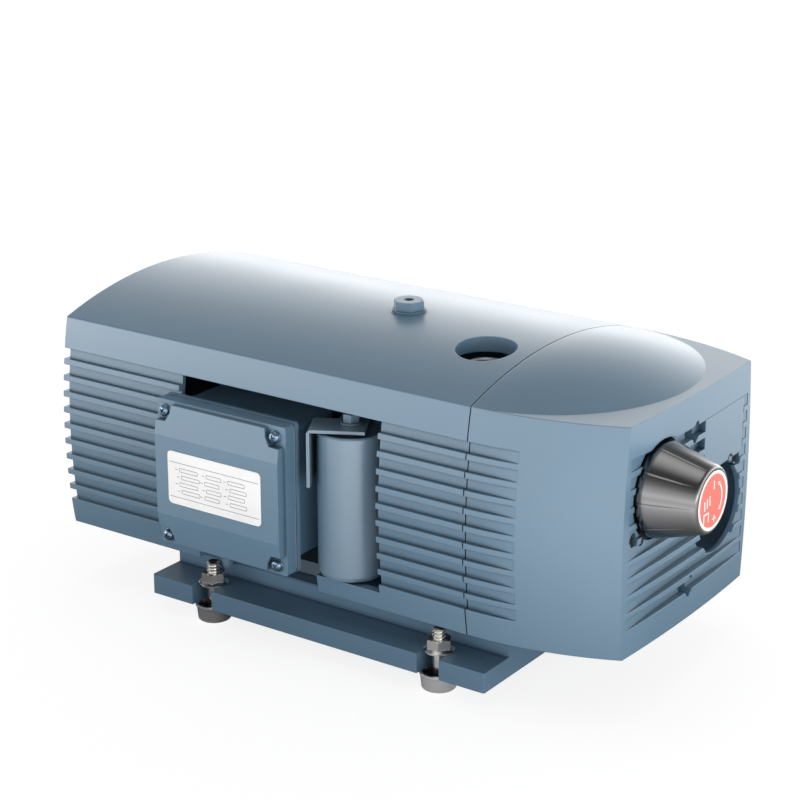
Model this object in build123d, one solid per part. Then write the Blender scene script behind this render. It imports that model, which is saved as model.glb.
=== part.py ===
from build123d import *
import math
import os

os.makedirs("parts", exist_ok=True)

# Oil-free rotary vane vacuum pump, in millimetres.
# X runs along the shaft and grows towards the regulating knob.
# Z is up, the feet stand on Z = 0, and the terminal box is on the -Y side.
# Everything is drawn from the middle of the whole pump and saved about its origin,
# which is the point on the floor midway between the four feet.

# Heights of the base and the shaft
FOOT_H = 15.0
PLATE_T = 17.5
PEDESTAL_H = 14.1
PLATE_TOP = FOOT_H + PLATE_T
PEDESTAL_TOP = PLATE_TOP + PEDESTAL_H
CENTRE_H = 90.0
AXIS_Z = PEDESTAL_TOP + CENTRE_H

# Base plate
PLATE_X0 = -197.0
PLATE_X1 = 148.8
PLATE_HALF_W = 141.2
PEDESTAL_HALF_W = 104.6
SLOT_W = 21.5
STUD_X = (-141.3, 94.6)
STUD_EDGE = 16.6
STUD_Y = PLATE_HALF_W - STUD_EDGE
STUD_R = 6.0
ORIGIN_X = (STUD_X[0] + STUD_X[1]) / 2

# Hood and front cap
HOOD_X0 = -297.0
PARTING_X = 125.0
SEAM = 1.0
HOOD_BOTTOM = 56.1
CREASE_Z = 247.9
APEX_Z = 268.8
CREASE_HALF_W = 128.0
SIDE_MID_Z = 146.4
SIDE_BOW = 10.3
SIDE_R = 500.0
CAP_LENGTH = 125.0
CAP_PLAN_R = 295.0
CAP_BOW = 3.3
SKIN = 4.0
RIB_DEPTH = 4.2
REAR_GROOVE = 3.0
REAR_T = SKIN + REAR_GROOVE
WALL = SKIN + RIB_DEPTH
GROOVE_COUNT = 10
GROOVE_TOP = 220.6
GROOVE_PITCH = 14.6
GROOVE_H = 9.6
GROOVE_END_X = 170.0
ARCH_RISE = APEX_Z - CREASE_Z
ARCH_R = (CREASE_HALF_W**2 + ARCH_RISE**2) / (2 * ARCH_RISE)
DOME_LENGTH = 117.5

# Front face of the cap
FLOOR_DEPTH = 6.4
FLOOR_R = 1656.0
FRONT_GROOVE_Y = 97.5
FRONT_X = PARTING_X + CAP_LENGTH + CAP_BOW
FLOOR_CENTRE_X = FRONT_X - FLOOR_DEPTH + FLOOR_R
KNOB_Y = -50.0
KNOB_Z = 183.5
OUTLET_Y = 53.0
OUTLET_Z = 134.1
CAP_SCREW_Z = (215.1, 83.1)

# Holes in the top of the hood
INLET_X = 84.7
INLET_Y = -44.0
INLET_HOLE_R = 25.4
LIFT_X = -21.8

# Motor
FRAME_X0 = -172.0
FRAME_X1 = -22.0
FRAME_R = 68.0
FIN_R = 77.0
BORE_R = 62.0
STATOR_R = 35.0
AIR_GAP = 0.3
CORE_X0 = -142.0
CORE_X1 = -52.0
SHIELD_T = 12.0
SHAFT_FIT = 0.02
BEARING_R = 26.0
BEARING_T = 15.0

# Pump
BORE_RADIUS = 60.0
ROTOR_R = 52.4
ECCENTRIC = 7.4
PUMP_X0 = 58.0
PUMP_X1 = 110.0
END_T = 12.0
PUMP_R = 76.0
SIDE_CLEAR = 0.1
VANES = 7
VANE_T = 4.0
VANE_CLEAR = 0.05
VANE_OFFSET = 12.0
SLOT_FLOOR = 18.0

# Filter housing
MANIFOLD_X0 = PUMP_X1 + END_T
MANIFOLD_T = 8.0
CHAMBER_X1 = 222.0
CHAMBER_R = 39.5
CHAMBER_IN_R = 36.0

# Terminal box and capacitor
BOX_X0 = -169.8
BOX_X1 = -34.2
BOX_Z0 = 76.3
BOX_Z1 = 206.1
BOX_FRONT = -157.0
COVER_RAISE = 8.0
CAP_X = -2.6
CAP_Y = -110.0
CAP_R = 28.5
CAP_Z0 = 72.5
CAP_Z1 = 199.0
BRACKET_ANGLE = 28.0


def across(x):
    """Plane square to the shaft at x, with local x = Y and local y = Z."""
    return Plane(origin=(x, 0, 0), x_dir=(0, 1, 0), z_dir=(1, 0, 0))


def rod(x0, x1, r, y=0.0, z=AXIS_Z):
    return extrude(across(x0) * Pos(y, z) * Circle(r), amount=x1 - x0)


def tube(x0, x1, r_out, r_in, y=0.0, z=AXIS_Z):
    return rod(x0, x1, r_out, y, z) - rod(x0 - 1, x1 + 1, r_in, y, z)


def prism(x0, x1, face):
    """Face drawn in (Y, Z) and run along X."""
    return extrude(across(x0) * face, amount=x1 - x0)


def turned(points, y=0.0, z=AXIS_Z):
    """Profile of (x, r) points turned about a line along X."""
    plane = Plane(origin=(0, y, z), x_dir=(1, 0, 0), z_dir=(0, -1, 0))
    face = plane * make_face(Polyline(*points, close=True))
    return revolve(face, axis=Axis((0, y, z), (1, 0, 0)))


def spun(points, x, y):
    """Profile of (r, z) points turned about an upright line."""
    plane = Plane(origin=(x, y, 0), x_dir=(1, 0, 0), z_dir=(0, -1, 0))
    face = plane * make_face(Polyline(*points, close=True))
    return revolve(face, axis=Axis((x, y, 0), (0, 0, 1)))


def post(x, y, z0, z1, r):
    return Pos(x, y, z0) * Cylinder(r, z1 - z0, align=(Align.CENTER, Align.CENTER, Align.MIN))


def block(x0, x1, y0, y1, z0, z1):
    return Pos(x0, y0, z0) * Box(x1 - x0, y1 - y0, z1 - z0, align=(Align.MIN, Align.MIN, Align.MIN))


def ring_of(shape, count, start=0.0, y=0.0, z=AXIS_Z):
    """Copies of a shape spread round a line along X."""
    line = Axis((0, y, z), (1, 0, 0))
    return [shape.rotate(line, start + i * 360.0 / count) for i in range(count)]


def polar(r, degrees, y=0.0, z=AXIS_Z):
    a = math.radians(degrees)
    return y + r * math.cos(a), z + r * math.sin(a)


def fuse(shapes):
    first = shapes[0]
    return first.fuse(*shapes[1:]) if len(shapes) > 1 else first


def save(name, *shapes):
    """One STEP file holding each solid of the node as a solid of its own."""
    solids = []
    for shape in shapes:
        solids.extend((Pos(-ORIGIN_X, 0, 0) * shape).solids())
    body = solids[0] if len(solids) == 1 else Compound(children=solids)
    export_step(body, "parts/" + name + ".step")


def hex_head(size, height):
    return extrude(RegularPolygon(size / 2, 6, major_radius=False), amount=height)


# Base plate with a raised pedestal and four open slots
plate = block(PLATE_X0, PLATE_X1, -PLATE_HALF_W, PLATE_HALF_W, FOOT_H, PLATE_TOP)
plate = fillet(plate.edges().filter_by(Axis.Z), 2.0)
pedestal = block(PLATE_X0, PLATE_X1, -PEDESTAL_HALF_W, PEDESTAL_HALF_W, PLATE_TOP - 1, PEDESTAL_TOP)
base = plate + pedestal
for sx in STUD_X:
    for side in (-1, 1):
        outer = side * (PLATE_HALF_W + 5)
        low, high = sorted((side * STUD_Y, outer))
        base -= block(sx - SLOT_W / 2, sx + SLOT_W / 2, low, high, FOOT_H - 1, PLATE_TOP + 1)
        base -= post(sx, side * STUD_Y, FOOT_H - 1, PLATE_TOP + 1, SLOT_W / 2)
MOTOR_BOLT_X = (-150.0, -44.0)
MOTOR_BOLT_Y = 70.0
MOTOR_BOLTS = [(x, y) for x in MOTOR_BOLT_X for y in (-MOTOR_BOLT_Y, MOTOR_BOLT_Y)]
for bx, by in MOTOR_BOLTS:
    base -= post(bx, by, PEDESTAL_TOP - 20, PEDESTAL_TOP + 1, 4.0)
top_edges = base.edges().group_by(Axis.Z)[-1].filter_by(Axis.X)
base = chamfer(top_edges, 1.5)
save("base_plate", base)

# Feet: open steel cups, a rubber pad in each, a stud and a flanged nut
FEET = [(x, side * STUD_Y) for x in STUD_X for side in (-1, 1)]
CUP_PROFILE = [(6.1, 0), (13.6, 0), (14.4, 0.8), (15.4, 11.0), (16.6, 13.2), (16.6, 15.0)]
CUP_PROFILE += [(14.6, 15.0), (14.2, 13.2), (13.0, 3.0), (6.1, 3.0)]
cups = [spun(CUP_PROFILE, x, y) for x, y in FEET]
save("foot_cups", *cups)
PAD_PROFILE = [(6.2, 3.0), (12.6, 3.0), (13.2, 8.0), (10.5, 9.5), (6.2, 9.5)]
save("foot_pads", *[spun(PAD_PROFILE, x, y) for x, y in FEET])
STUD_TOP = 52.9
THREAD_PITCH = 2.6
NUT_TOP = PLATE_TOP + 11.0
FOOT_TAP_R = 3.4
FOOT_TAP_H = 12.0
stud_line = [(0, FOOT_TAP_H + 2.0), (FOOT_TAP_R, FOOT_TAP_H), (FOOT_TAP_R, 0.3)]
stud_line += [(STUD_R - 0.1, 0.3), (STUD_R - 0.1, NUT_TOP + 0.4)]
for turn in range(3):
    start = NUT_TOP + 0.8 + turn * THREAD_PITCH
    stud_line += [(STUD_R - 1.0, start), (STUD_R, start + 0.9), (STUD_R, start + 1.3)]
stud_line += [(STUD_R - 1.0, STUD_TOP - 1.0), (STUD_R - 1.4, STUD_TOP), (0, STUD_TOP)]
save("foot_studs", *[spun(stud_line, x, y) for x, y in FEET])
NUT_FLANGE = [(0, 0), (13.0, 0), (13.0, 1.2), (9.4, 3.4), (0, 3.4)]
NUT_CAP = [(0, 0), (11.4, 0), (11.4, 9.9), (9.6, 11.0), (0, 11.0)]
nuts = []
for x, y in FEET:
    body = Pos(x, y, PLATE_TOP) * hex_head(19.0, 11.0)
    body = body & spun([(r, z + PLATE_TOP) for r, z in NUT_CAP], x, y)
    body = body + spun([(r, z + PLATE_TOP) for r, z in NUT_FLANGE], x, y)
    nuts.append(body - post(x, y, PLATE_TOP - 1, NUT_TOP + 1, STUD_R + 0.05))
save("foot_nuts", *nuts)


# Outline of the hood, shared by the hood and the front cap
def plan_shrink(x):
    run = max(0.0, x - PARTING_X)
    return CAP_PLAN_R - math.sqrt(CAP_PLAN_R**2 - run**2)


def half_width(x, z, inset):
    run = max(0.0, x - PARTING_X) / CAP_LENGTH
    bow = (1 - 0.45 * run**2) * (SIDE_BOW - (z - SIDE_MID_Z)**2 / (2 * SIDE_R))
    return CREASE_HALF_W - plan_shrink(x) + bow - inset


def arch_height(y, drop):
    centre = APEX_Z - ARCH_R
    return centre + math.sqrt((ARCH_R - drop)**2 - y**2)


def side_points(x, z0, z1, inset):
    zm = (z0 + z1) / 2
    return [(half_width(x, z, inset), z) for z in (z0, zm, z1)]


def arch_face(inset, drop, z0):
    """Hood section: two bowed sides under one arch."""
    z1 = CREASE_Z
    for _ in range(20):
        z1 = arch_height(half_width(0, z1, inset), drop)
    low, mid, high = side_points(0, z0, z1, inset)
    right = ThreePointArc(low, mid, high)
    top = ThreePointArc(high, (0, APEX_Z - drop), (-high[0], high[1]))
    left = ThreePointArc((-high[0], high[1]), (-mid[0], mid[1]), (-low[0], low[1]))
    floor = Line((-low[0], low[1]), low)
    return make_face([right, top, left, floor])


def flat_face(x, inset, z0, z1):
    """Cap section: two bowed sides under a flat top."""
    low, mid, high = side_points(x, z0, z1, inset)
    right = ThreePointArc(low, mid, high)
    top = Line(high, (-high[0], high[1]))
    left = ThreePointArc((-high[0], high[1]), (-mid[0], mid[1]), (-low[0], low[1]))
    floor = Line((-low[0], low[1]), low)
    return make_face([right, top, left, floor])


def cap_block(x0, x1, inset, z0, z1, steps=5):
    stations = [x0 + (x1 - x0) * i / steps for i in range(steps + 1)]
    return loft([across(x) * flat_face(x, inset, z0, z1) for x in stations])


GROOVE_TOPS = [GROOVE_TOP - i * GROOVE_PITCH for i in range(GROOVE_COUNT)]
FAR_Y = 160.0
groove_core = prism(HOOD_X0 + REAR_GROOVE, GROOVE_END_X, arch_face(RIB_DEPTH, 1.0, HOOD_BOTTOM - 5))
groove_slabs = []
for zt in GROOVE_TOPS:
    slab = block(HOOD_X0 - 1, GROOVE_END_X, -FAR_Y, FAR_Y, zt - GROOVE_H, zt)
    groove_slabs.append(slab - groove_core)

# Hood: arched shell with ribbed sides, a side window and two holes in its top
BUSH_R = INLET_HOLE_R + 3.0
hood_x1 = PARTING_X - SEAM / 2
hood_solid = prism(HOOD_X0, hood_x1, arch_face(0, 0, HOOD_BOTTOM))
crease = [e for e in hood_solid.edges().filter_by(Axis.X) if abs(e.center().Z - CREASE_Z) < 2]
hood_solid = fillet(crease, 2.2)
hood_void = prism(HOOD_X0 + REAR_T, hood_x1 + 5, arch_face(WALL, SKIN, HOOD_BOTTOM - 5))
collar = post(INLET_X, INLET_Y, 255.0, APEX_Z, BUSH_R) & hood_solid
lift_pad = post(LIFT_X, 0, APEX_Z - SKIN + 1.0, APEX_Z + 0.3, 16.0)
hood = hood_solid - hood_void + collar + lift_pad
hood -= post(INLET_X, INLET_Y, 200.0, APEX_Z + 5, INLET_HOLE_R)
hood -= post(LIFT_X, 0, 200.0, APEX_Z + 5, 8.3)
for slab in groove_slabs:
    hood -= slab
WINDOW_X = (-165.0, 41.3)
WINDOW_Z = (72.1, 219.5)
NOTCH_X = (-151.0, -23.0)
hood -= block(WINDOW_X[0], WINDOW_X[1], -FAR_Y, -95, WINDOW_Z[0], WINDOW_Z[1])
hood -= block(NOTCH_X[0], NOTCH_X[1], -FAR_Y, -95, HOOD_BOTTOM - 2, WINDOW_Z[0] + 1)
GRILLE_R = 82.0
GRILLE_Z = 150.0
hood -= rod(HOOD_X0 - 2, HOOD_X0 + REAR_T + 2, GRILLE_R, 0, GRILLE_Z)
save("hood", hood)

# Rear grille: a rim, rings and radial bars that close the fan opening
GRILLE_IN = 0.3
GRILLE_X1 = HOOD_X0 + REAR_T + 2.5
grille = tube(HOOD_X0 + 0.5, GRILLE_X1, GRILLE_R - GRILLE_IN, GRILLE_R - 7.0, 0, GRILLE_Z)
flange = tube(HOOD_X0 + REAR_T, GRILLE_X1, GRILLE_R + 6.0, GRILLE_R - 7.0, 0, GRILLE_Z)
grille = grille + flange
for r in (60.0, 45.0, 30.0):
    grille += tube(HOOD_X0 + 1.5, HOOD_X0 + 4.5, r + 1.6, r - 1.6, 0, GRILLE_Z)
grille += rod(HOOD_X0 + 1.5, HOOD_X0 + 4.5, 16.0, 0, GRILLE_Z)
bar = block(HOOD_X0 + 2.0, HOOD_X0 + 6.0, 14.0, GRILLE_R - 6.0, GRILLE_Z - 1.5, GRILLE_Z + 1.5)
for spoke in ring_of(bar, 8, 0, 0, GRILLE_Z):
    grille += spoke
save("rear_grille", grille)

# Front cap: bowed sides, flat shoulders, a dome, ribs and two round openings
cap_x0 = PARTING_X + SEAM / 2
bow_r = (100.1**2 + CAP_BOW**2) / (2 * CAP_BOW)
front_cut = post(FRONT_X - bow_r, 0, 0, 320, bow_r)
cap = cap_block(cap_x0, FRONT_X + 3, 0, HOOD_BOTTOM, CREASE_Z) & front_cut


def dome(r_drop, z_cut, x0):
    """Quarter of a stretched ball that carries the hood's arch on to the cap."""
    radius = ARCH_R - r_drop
    centre = APEX_Z - ARCH_R
    reach = math.sqrt(radius**2 - (z_cut - centre)**2)
    half = radius - (z_cut - centre)
    halfway = math.sqrt(radius**2 - reach**2 / 4) - radius + half
    top = ThreePointArc((0, half), (reach / 2, halfway), (reach, 0))
    face = make_face([top, Line((reach, 0), (0, 0)), Line((0, 0), (0, half))])
    plane = Plane(origin=(0, 0, 0), x_dir=(1, 0, 0), z_dir=(0, -1, 0))
    cake = revolve(plane * face, axis=Axis.Z)
    cake = cake & block(0, 400, -200, 200, -5, 60)
    cake = scale(cake, by=(DOME_LENGTH / CREASE_HALF_W, 1, 1))
    return Pos(x0, 0, z_cut) * cake


cap_dome = dome(0, CREASE_Z, cap_x0)
cap = cap + cap_dome
inner_block = cap_block(cap_x0 - 3, FRONT_X - 5, WALL, HOOD_BOTTOM - 5, CREASE_Z - SKIN)
front_wall = post(FLOOR_CENTRE_X, 0, 0, 320, FLOOR_R + SKIN)
inner_block = inner_block - front_wall
cap = cap - inner_block
inner_dome = dome(SKIN, CREASE_Z - SKIN - 0.5, cap_x0 - 1)
cap = cap - (inner_dome & block(0, 232, -116, 116, 0, 400))
lip_out = prism(PARTING_X - 9.5, cap_x0 + 2, arch_face(WALL + 0.4, SKIN + 0.4, HOOD_BOTTOM))
lip_in = prism(PARTING_X - 12, cap_x0 + 4, arch_face(WALL + 3.4, SKIN + 3.4, HOOD_BOTTOM - 5))
cap = cap + (lip_out - lip_in)

# Vertical-axis hollow behind the front face sets the depth of the front grooves
front_floor = post(FLOOR_CENTRE_X, 0, 0, 320, FLOOR_R)
PANEL_Y = (17.1, 89.5)
PANEL_Z = (173.1, 220.9)
panel = block(200, 300, PANEL_Y[0], PANEL_Y[1], PANEL_Z[0], PANEL_Z[1])
for zt in GROOVE_TOPS:
    slab = block(220, 270, -FRONT_GROOVE_Y, FRONT_GROOVE_Y, zt - GROOVE_H, zt)
    cap -= (slab & front_floor) - panel
PANEL_GAP = 0.9
panel_slit = block(200, 300, PANEL_Y[1], PANEL_Y[1] + PANEL_GAP, PANEL_Z[0] - PANEL_GAP, PANEL_Z[1])
panel_slit += block(200, 300, PANEL_Y[0], PANEL_Y[1], PANEL_Z[0] - PANEL_GAP, PANEL_Z[0])
panel_line = block(200, 300, PANEL_Y[0], PANEL_Y[1], PANEL_Z[1] - 0.4, PANEL_Z[1])
cap -= panel_slit - post(FRONT_X - bow_r, 0, 0, 320, bow_r - 2.5)
cap -= panel_line - post(FRONT_X - bow_r, 0, 0, 320, bow_r - 0.5)
for slab in groove_slabs:
    cap -= slab

# Round openings with small screw lobes, and two deep recesses for the cap screws
KNOB_HOLE_R = 41.5
OUTLET_HOLE_R = 39.0
SCREW_SEAT_X = 229.0
SCREW_POCKET_R = 6.8
bosses = []
for z in CAP_SCREW_Z:
    bosses.append(rod(SCREW_SEAT_X - SKIN, 246.0, SCREW_POCKET_R + 3.5, 0, z))
cap = cap + fuse(bosses)
cap -= rod(200, 270, KNOB_HOLE_R, KNOB_Y, KNOB_Z)
cap -= rod(200, 270, OUTLET_HOLE_R, OUTLET_Y, OUTLET_Z)
LOBES = [(-90.0, 153.1, 6.0), (-75.0, 148.5, 5.0), (82.6, 167.4, 6.0), (67.0, 172.0, 5.0)]
for y, z, r in LOBES:
    cap -= rod(200, 270, r, y, z)
for z in CAP_SCREW_Z:
    cap -= rod(SCREW_SEAT_X, 270, SCREW_POCKET_R, 0, z)
    cap -= rod(200, 270, 4.4, 0, z)
    cap -= rod(243.0, 270, 2.6, 2.6, z + 6.6)
    cap -= rod(243.0, 270, 3.0, -0.6, z - 5.6)
save("front_cap", cap)

# Cap screws with washers and hexagon sockets
cap_screws = []
for z in CAP_SCREW_Z:
    x0 = SCREW_SEAT_X
    head = turned([(x0, 0), (x0, 6.5), (x0 + 7.5, 6.5), (x0 + 8.0, 6.0), (x0 + 8.0, 0)], 0, z)
    shank = rod(206.0, x0 + 1.0, 4.0, 0, z)
    socket = prism(x0 + 4.0, x0 + 9.0, Pos(0, z) * RegularPolygon(3.0, 6, major_radius=False))
    cap_screws.append(head + shank - socket)
save("cap_screws", *cap_screws)

# Lifting boss: a threaded hexagon clamped on a flange, held by a pillar on the motor
PAD_TOP = APEX_Z + 0.3
LIFT_TOP = 278.6
boss = spun([(4.25, 250.0), (8.0, 250.0), (8.0, PAD_TOP), (14.5, PAD_TOP), (14.5, PAD_TOP + 1.6),
             (11.0, PAD_TOP + 1.6), (11.0, 274.0), (4.25, 274.0)], LIFT_X, 0)
hexagon = Pos(LIFT_X, 0, PAD_TOP + 1.6) * Rot(0, 0, 12) * hex_head(24.0, LIFT_TOP - PAD_TOP - 1.6)
crown = spun([(0, PAD_TOP + 1.6), (14.2, PAD_TOP + 1.6), (14.2, LIFT_TOP - 1.0),
              (12.2, LIFT_TOP), (0, LIFT_TOP)], LIFT_X, 0)
hexagon = (hexagon & crown) - post(LIFT_X, 0, PAD_TOP, LIFT_TOP + 1, 4.25)
save("lifting_boss", boss + hexagon)
PILLAR_TOP = APEX_Z - SKIN - 0.3
pillar_base = AXIS_Z + 84.0
pillar = spun([(0, pillar_base), (17.0, pillar_base), (17.0, pillar_base + 6), (13.0, pillar_base + 10),
               (13.0, PILLAR_TOP), (8.1, PILLAR_TOP), (8.1, 246.0), (0, 246.0)], LIFT_X, 0)
save("lifting_pillar", pillar)

# Motor housing: a finned barrel with feet, a top pad and a side pad
fins = Circle(FRAME_R)
for i in range(32):
    angle = 5.625 + i * 11.25
    fins += Rot(0, 0, angle) * Pos((FRAME_R + FIN_R) / 2 - 1, 0) * Rectangle(FIN_R - FRAME_R + 2, 2.6)
barrel = prism(FRAME_X0, FRAME_X1, Pos(0, AXIS_Z) * fins)
collar_a = rod(FRAME_X0, FRAME_X0 + 10, FIN_R)
collar_b = rod(FRAME_X1 - 10, FRAME_X1, FIN_R)
feet_body = block(-166, -28, -88.5, 88.5, PEDESTAL_TOP, PEDESTAL_TOP + 12)
webs = block(-166, -28, -56, -44, PEDESTAL_TOP, AXIS_Z - 30)
webs += block(-166, -28, 44, 56, PEDESTAL_TOP, AXIS_Z - 30)
side_pad = block(-146, -58, -84.0, -50, AXIS_Z - 30, AXIS_Z + 30)
frame = barrel + collar_a + collar_b + feet_body + webs + side_pad
ear_face = make_face(Polyline((-62.0, AXIS_Z + 66), (FRAME_X1, AXIS_Z + 66), (FRAME_X1, AXIS_Z + 78),
                              (LIFT_X + 17, AXIS_Z + 79), (LIFT_X + 17, AXIS_Z + 84), (-42.0, AXIS_Z + 84),
                              close=True))
ear_plane = Plane(origin=(0, 17, 0), x_dir=(1, 0, 0), z_dir=(0, -1, 0))
ear = extrude(ear_plane * ear_face, amount=34)
lug = block(-46.0, -24.0, -64.0, -44.5, AXIS_Z + 40, CAP_Z1 + 2.0)
frame = frame + ear + lug - post(-35.0, -54.0, CAP_Z1 - 12.0, CAP_Z1 + 5.0, 3.0)
frame -= rod(FRAME_X0 - 1, FRAME_X1 + 1, BORE_R)
for bx, by in MOTOR_BOLTS:
    frame -= post(bx, by, PEDESTAL_TOP - 1, PEDESTAL_TOP + 20, 4.5)
frame -= Pos(-102, -80, AXIS_Z) * Rot(90, 0, 0) * Cylinder(14.0, 60)
frame = frame - block(-140, -62, -43, 43, PEDESTAL_TOP - 1, PEDESTAL_TOP + 4)
save("motor_frame", frame)

bolts = []
for bx, by in MOTOR_BOLTS:
    head = Pos(bx, by, PEDESTAL_TOP + 12) * hex_head(13.0, 5.5)
    bolts.append(head + post(bx, by, PEDESTAL_TOP - 16, PEDESTAL_TOP + 13, 3.9))
save("motor_bolts", *bolts)

# Stator core with open slots, and the windings that lie in them
SLOTS = 24
slot_face = Pos(46.0, 0) * Rectangle(14.0, 4.4) + Pos(37.0, 0) * Rectangle(6.0, 1.8)
bar_face = Pos(46.0, 0) * Rectangle(13.4, 3.8)
core_face = Circle(BORE_R - 0.05) - Circle(STATOR_R)
core = prism(CORE_X0, CORE_X1, Pos(0, AXIS_Z) * core_face)
slot = prism(CORE_X0 - 1, CORE_X1 + 1, Pos(0, AXIS_Z) * slot_face)
core = core.cut(*ring_of(slot, SLOTS))
save("stator_core", core)
TURN_OUT = 55.0
TURN_IN = 38.0
end_a = turned([(CORE_X0 - 20, 42), (CORE_X0 - 23, 46), (CORE_X0 - 23, 50), (CORE_X0 - 18, TURN_OUT),
                (CORE_X0 - 0.5, TURN_OUT - 2), (CORE_X0 - 0.5, TURN_IN + 1)])
end_b = turned([(CORE_X1 + 0.5, TURN_IN + 1), (CORE_X1 + 0.5, TURN_OUT - 2), (CORE_X1 + 18, TURN_OUT),
                (CORE_X1 + 23, 50), (CORE_X1 + 23, 46), (CORE_X1 + 20, 42)])
coil_bar = prism(CORE_X0 - 2, CORE_X1 + 2, Pos(0, AXIS_Z) * bar_face)
windings = end_a.fuse(end_b, *ring_of(coil_bar, SLOTS))
save("stator_windings", windings)

# End shields with bearing seats, joined to the housing by long screws
SHAFT_STEPS = {"fan": 9.0, "rear": 12.5, "core": 16.0, "front": 15.0, "pump": 14.0, "end": 12.5}


def shield(x_face, direction, shaft_r):
    """Dished shield whose spigot enters the bore of the motor housing."""
    d = direction
    pts = [(x_face, BORE_R - 0.1), (x_face, FIN_R), (x_face + d * SHIELD_T, FIN_R - 6)]
    pts += [(x_face + d * SHIELD_T, 34.0), (x_face + d * 14.0, 30.0), (x_face + d * 14.0, shaft_r + 0.5)]
    pts += [(x_face + d * 11.0, shaft_r + 0.5), (x_face + d * 11.0, BEARING_R + 0.02)]
    pts += [(x_face - d * 4.5, BEARING_R + 0.02), (x_face - d * 4.5, 32.0), (x_face + d * 5.0, 36.0)]
    pts += [(x_face + d * 5.0, 55.0), (x_face - d * 5.0, 57.0), (x_face - d * 5.0, BORE_R - 0.1)]
    return turned(pts)


SCREW_RING = 69.5
rear_shield = shield(FRAME_X0, -1, SHAFT_STEPS["fan"] + 0.5)
front_shield = shield(FRAME_X1, 1, SHAFT_STEPS["pump"] + 1.0)
shield_holes = []
for i in range(4):
    y, z = polar(SCREW_RING, 45 + 90 * i)
    shield_holes.append(rod(FRAME_X0 - 20, FRAME_X0 + 1, 3.3, y, z))
    shield_holes.append(rod(FRAME_X1 - 1, FRAME_X1 + 20, 3.3, y, z))
rear_shield = rear_shield.cut(*shield_holes)
front_shield = front_shield.cut(*shield_holes)
save("motor_shield_rear", rear_shield)
save("motor_shield_front", front_shield)
shield_screws = []
for i in range(4):
    y, z = polar(SCREW_RING, 45 + 90 * i)
    shank = rod(FRAME_X0 - SHIELD_T + 2, FRAME_X0 - 0.2, 2.9, y, z)
    head = rod(FRAME_X0 - SHIELD_T - 5, FRAME_X0 - SHIELD_T, 5.0, y, z)
    key = prism(FRAME_X0 - SHIELD_T - 6, FRAME_X0 - SHIELD_T - 3,
                Pos(y, z) * RegularPolygon(2.5, 6, major_radius=False))
    shield_screws.append(head + rod(FRAME_X0 - SHIELD_T - 1, FRAME_X0 - 0.2, 2.9, y, z) - key)
save("shield_screws", *shield_screws)

# One shaft for the motor, both fans and the pump
FAN_X0 = -226.0
REAR_BEARING_X = FRAME_X0 - 11.0
FRONT_BEARING_X = FRAME_X1 + 11.0 - BEARING_T
END_BEARING_X = PUMP_X1 + 1.0
s = SHAFT_STEPS
shaft_pts = [(FAN_X0 - 6, 0), (FAN_X0 - 6, s["fan"] - 1), (FAN_X0 - 5, s["fan"])]
shaft_pts += [(REAR_BEARING_X, s["fan"]), (REAR_BEARING_X, s["rear"])]
shaft_pts += [(REAR_BEARING_X + BEARING_T, s["rear"]), (REAR_BEARING_X + BEARING_T, s["core"])]
shaft_pts += [(FRONT_BEARING_X, s["core"]), (FRONT_BEARING_X, s["front"])]
shaft_pts += [(FRONT_BEARING_X + BEARING_T, s["front"]), (FRONT_BEARING_X + BEARING_T, s["pump"])]
shaft_pts += [(PUMP_X1 - 0.5, s["pump"]), (PUMP_X1 - 0.5, s["end"])]
shaft_pts += [(PUMP_X1 + 10.0, s["end"]), (PUMP_X1 + 11.0, s["end"] - 1), (PUMP_X1 + 11.0, 0)]
shaft = turned(shaft_pts)
KEY_W = 5.0
KEYS = [(2.0, 34.0, "pump"), (66.0, 102.0, "pump"), (-222.0, -204.0, "fan")]
key_solids = []
for x0, x1, step in KEYS:
    top = AXIS_Z + s[step]
    shaft -= block(x0, x1, -KEY_W / 2, KEY_W / 2, top - 3.0, top + 1)
    key_solids.append(block(x0, x1, -KEY_W / 2, KEY_W / 2, top - 3.0, top + 2.0))
save("shaft", shaft)
save("shaft_keys", *key_solids)


def keyed_bore(x0, x1, step):
    """Shaft bore with its keyway, to be cut out of a hub."""
    hole = rod(x0, x1, s[step] + SHAFT_FIT)
    way = block(x0, x1, -KEY_W / 2 - 0.02, KEY_W / 2 + 0.02, AXIS_Z, AXIS_Z + s[step] + 2.2)
    return hole + way


# Ball bearings, closed by seals: outer rings stay, inner rings turn
BEARINGS = [(REAR_BEARING_X, s["rear"]), (FRONT_BEARING_X, s["front"]), (END_BEARING_X, s["end"])]
outers = []
inners = []
for i, (bx, r) in enumerate(BEARINGS):
    width = BEARING_T if i < 2 else 9.0
    r_out = BEARING_R if i < 2 else 21.0
    race_out = r_out - 4.5
    race_in = r + 4.0
    pts = [(bx, race_in + 0.4), (bx, r_out), (bx + width, r_out), (bx + width, race_in + 0.4)]
    pts += [(bx + width - 1.2, race_in + 0.4), (bx + width - 1.2, race_out), (bx + 1.2, race_out)]
    pts += [(bx + 1.2, race_in + 0.4)]
    outers.append(turned(pts))
    inners.append(tube(bx + 0.2, bx + width - 0.2, race_in, r + SHAFT_FIT))
save("bearing_outer_rings", *outers)
save("bearing_inner_rings", *inners)

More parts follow.
